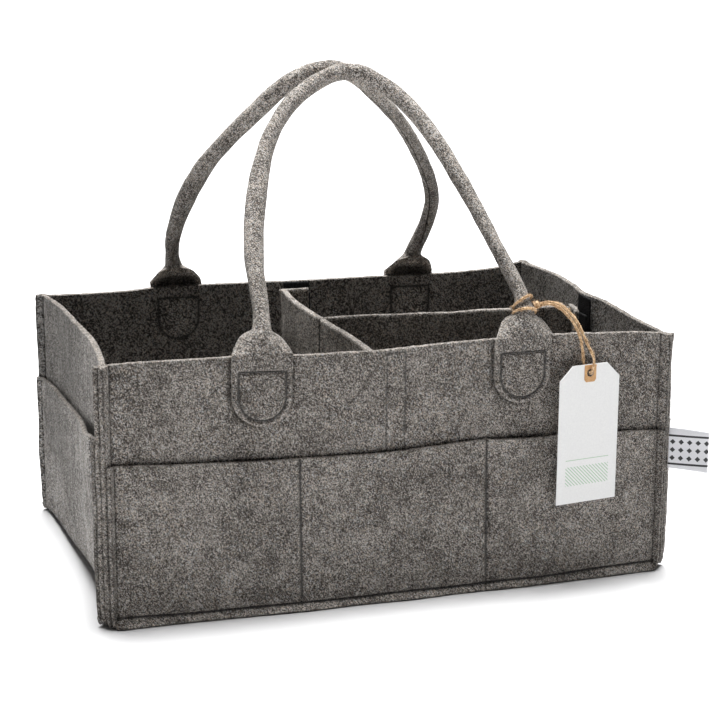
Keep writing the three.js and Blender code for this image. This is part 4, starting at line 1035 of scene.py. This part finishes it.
def handle(name, line, front, roll, shape):
    """One felt strip: a flat sewn tab at each end, its edges rolled together into a tube between them."""
    s = -1 if front else 1
    core = catmull([(x, s * out, z) for x, out, z in line], 1.0)
    run = np.concatenate([[0], np.cumsum(np.linalg.norm(np.diff(core, axis=0), axis=1))])
    total = run[-1]
    on_core = lambda q: np.array([np.interp(q, run, core[:, i]) for i in range(3)])
    # rows from the left tab's bottom, over the top, to the right tab's bottom
    low = FRONT_LOW if front else REAR_LOW
    tab_rows = [np.concatenate([[0.12, 0.5, 1.0, 1.7], np.arange(2.5, 157.5 - z - 0.3, 0.8)]) for z in low]
    fine = np.concatenate([np.arange(0, 7, 1.0), np.arange(7, 27, 0.5), np.arange(27, 46, 1.0)])
    up = np.concatenate([fine, np.arange(46.5, total - 46.4, 2.6), total - fine[::-1]])
    rows = [("tab", 0, q) for q in tab_rows[0]] + [("run", 0, q) for q in up] + [("tab", 1, q) for q in tab_rows[1][::-1]]
    cols = 51
    u = np.linspace(-1, 1, cols)
    u = np.sign(u) * (1 - (1 - np.abs(u)) ** 1.15)  # a little closer at the edges
    A, B, painted_shadings, painted_lip_shading, backs = [], [], [], [], []
    tx = FRONT_TABS if front else REAR_TABS
    d_lines = FRONT_D if front else REAR_D
    hand = 1.0 if front else -1.0  # the strip's left edge at the left tab keeps one hand all along
    for kind, right, q in rows:
        if kind == "tab":
            z = low[right] + q
            r = TAB_W / 2
            half = math.sqrt(max(r * r - (r - q) ** 2, 0.2)) if q < r else r
            # u runs the same way round the whole strip, so it changes side at the right tab
            x = tx[right] + u * half * (-1 if right else 1)
            bow = front_bow(x, np.full_like(x, z)) if front else rear_bow(x, np.full_like(x, z))
            mid = np.stack([x, s * (SY + bow + FELT + GAP + FELT / 2), np.full_like(x, z)], -1)
            nn = np.zeros_like(mid)
            nn[:, 1] = s
            dl = line_distance(x, z, [d_lines[right]])
            g = valley(dl, 1.3, 0.85)
            rim = np.minimum((1 - np.abs(u)) * half, q)
            press = np.exp(-((rim / 1.3) ** 2))
            t = FELT - 0.5 * press
            g = g - 0.35 * np.exp(-(((rim - 1.9) / 1.1) ** 2))
            mid = mid - nn * (0.2 * press)[:, None]
            # painted light on the puffed border inside the tab's edge and on its cut edges; painted shade in the D
            # stitch line
            painted_shading = 0.16 * np.exp(-(((rim - 1.6) / 1.5) ** 2)) * (dl > 1.2) - 0.5 * np.exp(-((dl / 0.65) ** 2))
            painted_lip_light = 0.1
        else:
            c, c0, c1 = on_core(q), on_core(max(q - 2.0, 0)), on_core(min(q + 2.0, total))
            d = min(q, total - q)
            tang = unit(c1 - c0)
            if d < 12:
                tang = unit(tang * [rise(d, 0, 12), 1, 1])
            lean = 0.628 * float(rise(c[2], 168, 188))
            b = np.array([0, math.cos(lean) * s, math.sin(lean)])
            b = unit(b - tang * b.dot(tang))
            w = np.cross(tang, b) * hand
            # the hood over the tab is gathered straight back, so it stands up round
            upright = 1 - float(rise(d, 24, 46))
            b = unit(b * (1 - upright) + np.array([0, s * 1.0, 0.0]) * upright)
            w = unit(w * (1 - upright) + np.array([(-1.0 if q > total / 2 else 1.0), 0, 0]) * upright)
            twist = roll(q / total) * float(rise(d, 30, 80)) * hand
            b2 = b * math.cos(twist) + w * math.sin(twist)
            w2 = -b * math.sin(twist) + w * math.cos(twist)
            dh = d if d < 8 else 8 + (max(0.0, d - (9.5 if q < total / 2 else 8.6)) / 1.16 if front else max(0.0, d - 10.5) / 1.2)
            th = max(math.radians(float(CURL(dh))), 1e-3)
            width = float(STRIP_W(dh))
            k = float(rise(d, 8, 30))
            squeeze = 1 + 0.03 * float(HANDLE_WAVE(*c)) * k
            radius = width / th
            ang = u * th / 2
            mid = c + b2 * TUBE_R * k + w2 * (radius * np.sin(ang) * squeeze)[:, None] - b2 * (radius * (1 - np.cos(ang)) / squeeze)[:, None]
            nn = b2 * np.cos(ang)[:, None] + w2 * np.sin(ang)[:, None]
            # the tube is flattened, and its flat turns along the strip
            flat = 1 + (float(shape(q / total)) - 1) * float(rise(d, 26, 40))
            side = unit(np.cross(tang, FLAT_ALONG))
            deep = np.cross(tang, side)
            for vec in (mid, nn):
                off = vec - c if vec is mid else vec
                vec += np.outer(off @ side, side) * (flat - 1) + np.outer(off @ deep, deep) * (flat**-0.6 - 1)
            nn = unit(nn)
            lip = np.exp(-(((1 - np.abs(u)) * width / 2 / 1.6) ** 2))
            t = FELT + (TUBE_FELT - FELT) * k - 0.4 * lip
            on_line = (np.abs(u) * width / 2 < 15.2) * (d < 6)
            g = valley(np.full(cols, d + 1.5), 1.3, 0.85) * on_line
            # painted light on the tube, stronger higher up, and on the hood lips (rear hood most); painted shade in
            # the stitch line at the fold
            painted_shading = (0.08 + 0.42 * float(rise(c[2], 210, 320))) * k - 0.5 * math.exp(-(((d + 1.5) / 0.65) ** 2)) * on_line
            painted_lip_light = 0.1 + (0.7 if not front else 0.3) * float(rise(d, 6, 10) * (1 - rise(d, 34, 50)))
        A.append(mid + nn * (t / 2 - g)[:, None])
        B.append(mid - nn * (t / 2)[:, None])
        painted_shadings.append(painted_shading)
        if kind == "tab":
            backs.append(np.zeros(cols))
        else:
            # painted shade in the hollow under the hood; painted light on its lip and the roll above it (rear hood
            # most)
            hollow = -0.6 * (1 - rise(np.abs(u), 0.6, 0.85)) * (1 - rise(d, 13, 17))
            lit = 0.9 * rise(d, 13, 17) + 0.7 * rise(np.abs(u), 0.7, 0.9)
            backs.append((hollow + lit) * float(rise(d, 6, 9) * (1 - rise(d, 26, 34))) * (0.2 if front else 1.0))
        painted_lip_shading.append(np.full(cols, painted_lip_light))
    return felt_sheet(name, settle(np.array(A)), settle(np.array(B)), lumps=0.12, painted_shading_a=np.array(painted_shadings), painted_shading_b=np.array(backs), painted_shading_edge=np.array(painted_lip_shading))


FRONT_FLAT = smooth_curve([0, 0.06, 0.13, 0.17, 0.22, 0.27, 0.31, 0.36, 0.45, 0.55, 0.62, 0.70, 0.76, 0.82, 0.90, 0.95, 1], [0.9, 0.88, 0.95, 1.08, 1.17, 1.12, 0.97, 0.86, 0.9, 0.93, 0.92, 0.92, 0.82, 0.76, 0.75, 0.84, 0.95])
REAR_FLAT = smooth_curve([0, 0.07, 0.12, 0.17, 0.22, 0.28, 0.34, 0.40, 0.5, 0.6, 0.66, 0.72, 0.80, 0.88, 0.95, 1], [0.8, 0.76, 0.92, 1.11, 1.15, 1.06, 1.08, 1.08, 0.92, 0.8, 0.77, 0.79, 0.85, 0.93, 1, 1])
front_handle = handle("felt_front_handle", FRONT_LINE, True, lambda u: -0.7, FRONT_FLAT)
rear_handle = handle("felt_rear_handle", REAR_LINE, False, lambda u: 0.85 - 0.25 * float(rise(u, 0.42, 0.72)), REAR_FLAT)
for o, body, s, nodes in (
    (front_handle, "front_handle_body", -1, ("front_handle", "front_handle_tab_left", "front_handle_tab_right")),
    (rear_handle, "rear_handle_body", 1, ("rear_handle", "rear_handle_tab_left", "rear_handle_tab_right")),
):
    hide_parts(*nodes)
    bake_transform(o)


# ------------------------------------------------------------------ hook-and-loop tape
def tape(name, node, axis, lo, hi, body, hooks, seam):
    """A woven tape with a rounded selvedge and a pile that stands a little proud."""
    lo, hi = np.array(lo, float), np.array(hi, float)
    # axis: 0 for a tape on an end wall (faces X), 1 for one on a long wall (faces Y)
    w = 1 - axis
    us = places(lo[w], hi[w], 1.0)
    vs = places(lo[2], hi[2], 1.6)
    U, V = np.meshgrid(us, vs)
    edge = np.minimum(U - lo[w], hi[w] - U)
    pile = 0.18 * rise(edge, 0.5, 2.2) * (0.6 + 0.4 * Waves(3, 1.2, 3.0, 18)(U, V, 0.0))
    a = np.zeros(U.shape + (3,))
    a[..., w], a[..., 2] = U, V
    b = a.copy()
    a[..., axis], b[..., axis] = lo[axis], hi[axis]
    face = a if seam < 0 else b
    face[..., axis] += seam * (pile - 0.12)
    o = felt_sheet(name, settle(a) if body == "caddy" else a, settle(b) if body == "caddy" else b, [HOOK_MAT if hooks else LOOP_MAT] * 2, inset=0.25, lumps=0.02, fray=0.03)
    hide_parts(node)
    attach(o, body)
    return o


def node_box(node):
    lo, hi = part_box(node)
    return np.array(lo) * 1000, np.array(hi) * 1000


for node, axis, body, hooks, seam in (
    ("front_loop_tape", 1, "caddy", False, 1),
    ("rear_loop_tape", 1, "caddy", False, -1),
    ("end_loop_tape", 0, "caddy", False, -1),
    ("front_hook_tape", 1, "divider_insert", True, -1),
    ("rear_hook_tape", 1, "divider_insert", True, 1),
    ("end_hook_tape", 0, "divider_wing", True, 1),
):
    lo, hi = node_box(node)
    if node in ("rear_loop_tape", "end_loop_tape"):
        hi[2] += 2.3
    tape("tape_" + node.replace("_tape", ""), node, axis, lo, hi, body, hooks, seam)


# ------------------------------------------------------------------ divider
DIV_WAVE = Waves(83, 40, 120, 12)


def divider_sheet(name, u, v, mid_of, thick, nodes, body, groove=None, painted_shading=None):
    U, V = np.meshgrid(u, v)
    m = mid_of(U, V)
    nn = normals_of(m)
    g = groove(U, V) if groove is not None else np.zeros(U.shape)
    t = thick
    shade = painted_shading(U, V) if painted_shading is not None else None
    o = felt_sheet(name, m + nn * (t / 2 - g)[..., None], m - nn * (t / 2 - g)[..., None], [DIVIDER_MAT, EDGE_MAT], painted_shading_a=shade, painted_shading_b=shade)
    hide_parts(nodes)
    if isinstance(body, str):
        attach(o, body)
    else:
        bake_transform(o)
    return o


WEB_TOP = smooth_curve([-112.7, -90, -62, -25, 11, 50, 82, 112.7], [-6.0, -6.9, -6.8, -9.0, -10.2, -13.4, -12.4, -9.8])
WING_ROOT = 10.0  # where the long divider meets the cross divider


def web_x(y, z):
    """The cross divider's free edge wanders; lower down it stands straighter."""
    y = np.asarray(y, float)
    up = rise(z, 0, 140)
    foot = -4.7 - 2.0 * (y / 112.7)
    return foot + (WEB_TOP(y) - foot) * up + 0.4 * DIV_WAVE(5.0, y, z) * (1 - rise(np.abs(y), 90, 112)) * (1 - bell(y, WING_ROOT, 20)) * rise(z, 20, 150)


def web_mid(y, k):
    top = 158.4 - 0.5 * (1 - (y / 112.7) ** 2) + 0.35 * DIV_WAVE(0.0, y, 9.0)
    z = 6 + (top - 6) * k
    x = web_x(y, z)
    return np.stack([x, y, z], -1)


divider_sheet(
    "felt_cross_divider", places(-112.7, 112.7, 2.8, [(WING_ROOT, 3.0, 0.5)]), np.concatenate([np.linspace(0, 0.97, 48), [0.985, 1.0]]), web_mid, FELT, "cross_divider", "divider_insert",
    lambda y, k: valley(np.abs(y - WING_ROOT), 0.9),
    # painted light over the cross divider; painted shade along its seam with the long divider
    lambda y, k: 0.4 - 1.3 * np.exp(-(((y - WING_ROOT) / 1.6) ** 2)),
)


def wing_mid(x, k):
    top = 158.0 - 1.2 * rise(x, 0, 110) + 0.4 * DIV_WAVE(x, 40.0, 4.0) + 1.8 * bell(x, 169.5, 3.5) - 1.6 * bell(x, 175.5, 2.5)
    z = 6 + (top - 6) * k
    # the free edge follows the cross divider's bow
    x = x - (1 - rise(x, -1.4, 30)) * (6.1 * rise(z, 0, 140) + 0.7)
    y = 6 + 4.0 * (1 - rise(x, -8, 70)) + (1.6 * bell(x, 171, 4) * rise(z, 120, 156)) + (3.2 * bell(x, 60, 55) * rise(z, 20, 150) + 0.6 * DIV_WAVE(x, 60.0, z)) * rise(x, 0, 40) * (1 - rise(x, 140, 174))
    return np.stack([x, y, z], -1)


divider_sheet("felt_long_divider", places(-1.4, 176.3, 2.8), np.concatenate([np.linspace(0, 0.97, 48), [0.985, 1.0]]), wing_mid, FELT, "long_divider", ("divider_insert", "divider_wing", (-0.0085, 0.006, 0.08), (0.022, 0.006, 0.08)))


def foot(name, node, axis, body):
    lo, hi = node_box(node)
    w = 1 - axis
    if node == "rear_divider_foot":
        lo[0], hi[0] = lo[0] - 1.4, hi[0] - 3.0
    u = places(lo[w], hi[w], 2.0)
    k = np.linspace(0, 1, 56)
    mid = (lo[axis] + hi[axis]) / 2

    def mid_of(U, K):
        z = lo[2] + (hi[2] - lo[2]) * K
        p = np.zeros(U.shape + (3,))
        p[..., w], p[..., axis], p[..., 2] = U, mid + 0.1 * DIV_WAVE(U, 5.0, z), z
        if axis == 0:
            away = (1 - rise(U, lo[1], lo[1] + 17)) * rise(z, 50, 150)
            p[..., 0] -= 4.6 * away
            p[..., 1] += 1.4 * away
            p[..., 2] += (1.3 * bell(U, lo[1] + 6, 2.2) - 1.1 * bell(U, lo[1] + 12, 2.4)) * rise(z, 135, 156)
        return p

    return divider_sheet(name, u, k, mid_of, 3.0, node, body)


foot("felt_front_divider_foot", "front_divider_foot", 1, "divider_insert")
foot("felt_rear_divider_foot", "rear_divider_foot", 1, "divider_insert")
foot("felt_end_divider_foot", "end_divider_foot", 0, "divider_wing")

add_stitches(
    "stitches_divider_seam", "divider_seam_thread",
    stitch_runs([(WING_ROOT, 10.0), (WING_ROOT, 151.0)], lambda y, z, h: np.stack([web_x(y, z) - 2.0 - h, y, z], -1), low=-0.75, high=-0.3),
    "divider_insert",
)


# ------------------------------------------------------------------ twine
STRAND_RIGHT = [(98.8, -118.2, 187.8), (103.6, -122.8, 189.4), (109.2, -127.7, 187.9), (114.4, -131.6, 183.2), (118.4, -134.3, 177.2), (121.3, -136, 170.5), (124.4, -137, 163.5), (127.4, -137.6, 157.6), (129.3, -137.7, 152.4), (129.3, -136.6, 147.2), (129.1, -134.6, 143.6), (129.1, -132.4, 142.4)]
STRAND_LEFT = [(98.8, -116.2, 185.8), (103.2, -120.9, 187.6), (108.4, -125.6, 186.2), (113.3, -129.3, 181.4), (117.2, -131.7, 175.6), (120.6, -132.8, 168.6), (122.9, -132.3, 161), (124.3, -131.2, 154), (125.4, -130.5, 148.4), (127.0, -130.1, 144.6)]


def frame_along(line):
    """A frame that doesn't spin along the line."""
    t = unit(np.gradient(line, axis=0))
    u = np.zeros_like(t)
    start = np.cross(t[0], [0, 0, 1.0])
    if np.linalg.norm(start) < 1e-3:
        start = np.cross(t[0], [1.0, 0, 0])
    u[0] = unit(start)
    for i in range(1, len(t)):
        q = u[i - 1] - t[i] * u[i - 1].dot(t[i])
        u[i] = unit(q)
    return t, u, np.cross(t, u)


def twine_runs(line, closed=False, lay=5.2, seed=1):
    """Three plies laid round each other, with a few loose fibres."""
    line = resample(line, 0.35)
    t, u, w = frame_along(line)
    s = np.concatenate([[0], np.cumsum(np.linalg.norm(np.diff(line, axis=0), axis=1))])
    rng = np.random.default_rng(seed)
    runs = []
    turns = 2 * np.pi * s / lay
    if closed:
        turns = 2 * np.pi * round(s[-1] / lay) * s / s[-1]
    uneven = 1 + 0.1 * np.sin(s / 2.9 + seed) + 0.06 * np.sin(s / 1.3 + 2 * seed)
    for k in range(3):
        a = turns + k * 2 * np.pi / 3
        r = 0.47 * uneven
        runs.append((line + r[:, None] * (np.cos(a)[:, None] * u + np.sin(a)[:, None] * w), 0.5 * uneven))
    for k in range(int(s[-1] / 1.3)):
        i = rng.integers(1, max(2, len(line) - 6))
        n = rng.integers(5, 13)
        j = np.arange(i, min(i + n, len(line)))
        if len(j) < 4:
            continue
        if rng.uniform() < 0.5:
            j = j[::-1]
        a = turns[j] * rng.uniform(0.2, 0.8) + rng.uniform(0, 6.28)
        out = 0.85 + 2.3 * np.linspace(0, 1, len(j)) ** 1.6 * rng.uniform(0.1, 1.0)
        runs.append((line[j] + out[:, None] * (np.cos(a)[:, None] * u[j] + np.sin(a)[:, None] * w[j]), np.linspace(0.13, 0.07, len(j))))
    return runs


def strand(name, node, pts, seed):
    line = catmull(pts, 0.5)
    o = tubes(name, twine_runs(line, seed=seed), TWINE_MAT, 6)
    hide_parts(node)
    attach(o, "tag_twine")
    length_of(line) / 1000
    return o


strand("twine_strand_right_cord", "twine_strand_right", STRAND_RIGHT, 3)
strand("twine_strand_left_cord", "twine_strand_left", STRAND_LEFT, 8)


def knot_runs():
    """The small hitch beside the leg where both strands leave the rings."""
    middle = np.array([97.6, -117.2, 186.8])
    runs = []
    a = np.linspace(0, 2 * np.pi, 40)
    for axis, r, shift, seed in (((0.9, -0.3, 0.1), 1.75, (-0.6, 0, 0), 21), ((0.6, -0.6, 0.5), 1.6, (0.5, -0.3, 0.2), 22)):
        axis = unit(np.array(axis, float))
        e1 = unit(np.cross(axis, [0, 0, 1.0]))
        e2 = np.cross(axis, e1)
        runs += twine_runs(middle + np.array(shift) + r * (np.cos(a)[:, None] * e1 + np.sin(a)[:, None] * e2), True, seed=seed)
    for start, seed in (((94.2, -121.0, 182.6), 23), ((94.6, -115.4, 188.8), 24)):
        runs += twine_runs(catmull([start, (96.2, -118.2, 185.6), tuple(middle)], 0.5), seed=seed)
    return runs


def twine_ring(name, node, middle, axis, radius, seed, extra=()):
    axis = unit(np.array(axis, float))
    e1 = unit(np.cross(axis, [0, 0, 1.0]))
    e2 = np.cross(axis, e1)
    a = np.linspace(0, 2 * np.pi, 160)
    wob = radius + 0.25 * np.sin(2 * a + seed)
    line = np.array(middle) + wob[:, None] * (np.cos(a)[:, None] * e1 + np.sin(a)[:, None] * e2)
    o = tubes(name, twine_runs(line, True, seed=seed) + list(extra), TWINE_MAT, 6)
    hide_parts(node)
    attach(o, "front_handle_body")


twine_ring("twine_ring_lower", "twine_loop_lower", (88.2, -118.0, 182.6), (0.1, 0.62, 0.95), 6.9, 2, knot_runs())
twine_ring("twine_ring_upper", "twine_loop_upper", (88.4, -113.0, 188.4), (-0.36, 0.56, 0.74), 7.1, 5)


# ------------------------------------------------------------------ tag
def card_material():
    """White uncoated card with a printed rule and a band of plain stripes."""
    m, nt, bsdf = node_material("tag_card_white")
    tc = nt.nodes.new("ShaderNodeTexCoord")
    mp = nt.nodes.new("ShaderNodeMapping")
    mp.vector_type = "TEXTURE"
    mp.inputs["Location"].default_value = (0.1284, -0.134, 0.149)
    mp.inputs["Rotation"].default_value = (0, 0, math.radians(8.4))
    nt.links.new(tc.outputs["Object"], mp.inputs["Vector"])
    sep = nt.nodes.new("ShaderNodeSeparateXYZ")
    nt.links.new(mp.outputs[0], sep.inputs[0])
    x, z = sep.outputs[0], sep.outputs[2]
    ax = math_node(nt, "ABSOLUTE", x)
    band = math_node(nt, "MULTIPLY", math_node(nt, "LESS_THAN", math_node(nt, "ABSOLUTE", math_node(nt, "ADD", z, 0.0745)), 0.0065), math_node(nt, "LESS_THAN", ax, 0.0165))
    stripe = math_node(nt, "LESS_THAN", math_node(nt, "FRACT", math_node(nt, "MULTIPLY", math_node(nt, "ADD", x, z), 420.0)), 0.34)
    ink = math_node(nt, "MULTIPLY", band, stripe)
    rule = math_node(nt, "MULTIPLY", math_node(nt, "LESS_THAN", math_node(nt, "ABSOLUTE", math_node(nt, "ADD", z, 0.0635)), 0.00022), math_node(nt, "LESS_THAN", ax, 0.0165))
    ink = math_node(nt, "MAXIMUM", ink, rule)
    paper = noise_node(nt, tc.outputs["Object"], 900, 3, 0.6)
    base = ramp(nt, paper, [(0.3, (0.745, 0.745, 0.74)), (0.7, (0.80, 0.80, 0.79))])
    mix = nt.nodes.new("ShaderNodeMix")
    mix.data_type = "RGBA"
    nt.links.new(ink, mix.inputs["Factor"])
    nt.links.new(base, mix.inputs["A"])
    mix.inputs["B"].default_value = (0.36, 0.52, 0.36, 1)
    nt.links.new(mix.outputs["Result"], bsdf.inputs["Base Color"])
    bsdf.inputs["Roughness"].default_value = 0.62
    bump = put(nt, "ShaderNodeBump", Strength=0.12, Distance=0.0002)
    nt.links.new(paper, bump.inputs["Height"])
    nt.links.new(bump.outputs[0], bsdf.inputs["Normal"])
    return m


def kraft_material():
    m, nt, bsdf = node_material("kraft_paper")
    tc = nt.nodes.new("ShaderNodeTexCoord")
    a = noise_node(nt, tc.outputs["Object"], 1400, 3, 0.6, 0.3, (0.25, 1, 1))
    b = noise_node(nt, tc.outputs["Object"], 300, 2, 0.5)
    v = math_node(nt, "ADD", add_all(nt, [spread(nt, a, 0.8), spread(nt, b, 0.4)]), 0.5, clamp=True)
    color = ramp(nt, v, [(0.2, (0.42, 0.22, 0.09)), (0.8, (0.66, 0.40, 0.19))])
    nt.links.new(color, bsdf.inputs["Base Color"])
    bsdf.inputs["Roughness"].default_value = 0.75
    return m


CARD_MAT, KRAFT_MAT = card_material(), kraft_material()
for node, mat in (("tag_card", CARD_MAT), ("tag_patch_front", KRAFT_MAT), ("tag_patch_rear", KRAFT_MAT)):
    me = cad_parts[node].data
    me.materials.clear()
    me.materials.append(mat)


# ------------------------------------------------------------------ side label
def label_material():
    """White damask ribbon with a narrow dark line woven along both selvedges and plain diamonds between them."""
    m, nt, bsdf = node_material("label_woven_white")
    tc = nt.nodes.new("ShaderNodeTexCoord")
    p = tc.outputs["Object"]
    sep = nt.nodes.new("ShaderNodeSeparateXYZ")
    nt.links.new(p, sep.inputs[0])
    z = sep.outputs[2]
    rib = math_node(nt, "SINE", math_node(nt, "MULTIPLY", z, 2 * math.pi * 3300))
    along = math_node(nt, "SINE", math_node(nt, "MULTIPLY", math_node(nt, "SUBTRACT", sep.outputs[0], sep.outputs[1]), 2 * math.pi * 1500))
    weave = math_node(nt, "MULTIPLY", rib, along)
    v = math_node(nt, "ADD", math_node(nt, "MULTIPLY", weave, 0.25), 0.5)
    base = ramp(nt, v, [(0.2, (0.58, 0.58, 0.60)), (0.8, (0.76, 0.76, 0.79))])
    lines = math_node(nt, "LESS_THAN", math_node(nt, "ABSOLUTE", math_node(nt, "SUBTRACT", math_node(nt, "ABSOLUTE", math_node(nt, "SUBTRACT", z, 0.0845)), 0.0098)), 0.0007)
    # a lattice of plain diamonds between the lines
    u = math_node(nt, "ADD", math_node(nt, "MULTIPLY", sep.outputs[0], 0.839), math_node(nt, "MULTIPLY", sep.outputs[1], -0.545))
    cell = lambda c, at: math_node(nt, "ABSOLUTE", math_node(nt, "SUBTRACT", math_node(nt, "FRACT", math_node(nt, "MULTIPLY", math_node(nt, "SUBTRACT", c, at), 1 / 0.0056)), 0.5))
    diamond = math_node(nt, "LESS_THAN", math_node(nt, "ADD", cell(u, 0.0), cell(z, 0.0845 - 0.0028)), 0.33)
    inside = math_node(nt, "LESS_THAN", math_node(nt, "ABSOLUTE", math_node(nt, "SUBTRACT", z, 0.0845)), 0.0084)
    lines = math_node(nt, "MAXIMUM", lines, math_node(nt, "MULTIPLY", diamond, inside))
    mix = nt.nodes.new("ShaderNodeMix")
    mix.data_type = "RGBA"
    nt.links.new(lines, mix.inputs["Factor"])
    nt.links.new(base, mix.inputs["A"])
    mix.inputs["B"].default_value = (0.02, 0.02, 0.022, 1)
    nt.links.new(mix.outputs["Result"], bsdf.inputs["Base Color"])
    bsdf.inputs["Roughness"].default_value = 0.6
    bsdf.inputs["Sheen Weight"].default_value = 0.2
    bump = put(nt, "ShaderNodeBump", Strength=0.35, Distance=0.0002)
    nt.links.new(v, bump.inputs["Height"])
    nt.links.new(bump.outputs[0], bsdf.inputs["Normal"])
    return m


def make_label():
    """A ribbon folded double, its two ends caught in the corner seam."""
    root = np.array([SX + R2 * (FLANGE + 0.9), -SY - R2 * (FLANGE + 0.9)])
    turn = math.radians(-33)
    along = np.array([math.cos(turn), math.sin(turn)])
    across = np.array([-along[1], along[0]])
    length, ply = 26.3, 0.42
    prof = [(x, 0.5 + 0.25 * math.sin(math.pi * x / length)) for x in np.linspace(0, length - 0.8, 22)]
    prof += [(length - 0.8 + 0.75 * math.sin(a), 0.5 * math.cos(a)) for a in np.linspace(0.25, math.pi - 0.25, 9)]
    prof += [(x, -0.5 - 0.2 * math.sin(math.pi * x / length)) for x in np.linspace(length - 0.8, 0, 22)]
    prof = np.array(prof)
    zs = np.linspace(71.5, 99.5, 20)
    m = np.zeros((len(zs), len(prof), 3))
    for i, z in enumerate(zs):
        sag = 0.9 * math.sin(math.pi * (z - 71.5) / 28) * (prof[:, 0] / length) ** 2
        xy = root + prof[:, :1] * along + (prof[:, 1:] + sag[:, None]) * across
        m[i, :, :2] = xy
        m[i, :, 2] = z - 1.6 * (prof[:, 0] / length) ** 1.5
    nn = normals_of(m)
    mat = label_material()
    o = felt_sheet("label_ribbon", m + nn * ply / 2, m - nn * ply / 2, [mat, mat], inset=0.1, lumps=0.03, fray=0.02)
    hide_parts("side_label")
    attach(o, "caddy")


make_label()


# ------------------------------------------------------------------ floor and light
def make_floor():
    me = bpy.data.meshes.new("floor")
    me.from_pydata([(-40, -40, 0), (40, -40, 0), (40, 40, 0), (-40, 40, 0)], [], [(0, 1, 2, 3)])
    m, nt, bsdf = node_material("floor_pale")
    tc = nt.nodes.new("ShaderNodeTexCoord")
    color = ramp(nt, noise_node(nt, tc.outputs["Object"], 3, 2, 0.5), [(0.3, (0.74, 0.74, 0.745)), (0.7, (0.76, 0.76, 0.765))])
    nt.links.new(color, bsdf.inputs["Base Color"])
    bsdf.inputs["Roughness"].default_value = 0.9
    bsdf.inputs["Specular IOR Level"].default_value = 0.1
    me.materials.append(m)
    o = bpy.data.objects.new("floor", me)
    bpy.context.scene.collection.objects.link(o)


make_floor()


def sun(name, direction, strength, angle, color=(1, 1, 1)):
    d = bpy.data.lights.new(name, "SUN")
    d.energy = strength
    d.angle = math.radians(angle)
    d.color = color
    o = bpy.data.objects.new(name, d)
    v = unit(np.array(direction, float))  # towards the light
    up = np.array([0, 0, 1.0]) if abs(v[2]) < 0.95 else np.array([0, 1.0, 0])
    r = unit(np.cross(up, v))
    u = np.cross(v, r)
    o.matrix_world = Matrix([[r[i], u[i], v[i], 0] for i in range(3)] + [[0, 0, 0, 1]])
    bpy.context.scene.collection.objects.link(o)


sun("key_top", (0.065, 0.2, 1.0), 8.3, 31)
world = bpy.data.worlds.new("studio")
world.use_nodes = True
world.node_tree.nodes["Background"].inputs[0].default_value = (0.97, 0.98, 1.0, 1)
world.node_tree.nodes["Background"].inputs[1].default_value = 0.06
bpy.context.scene.world = world
view = bpy.context.scene.view_settings
view.view_transform = "Standard"
view.look = "None"
view.exposure = 0.0
view.gamma = 1.0
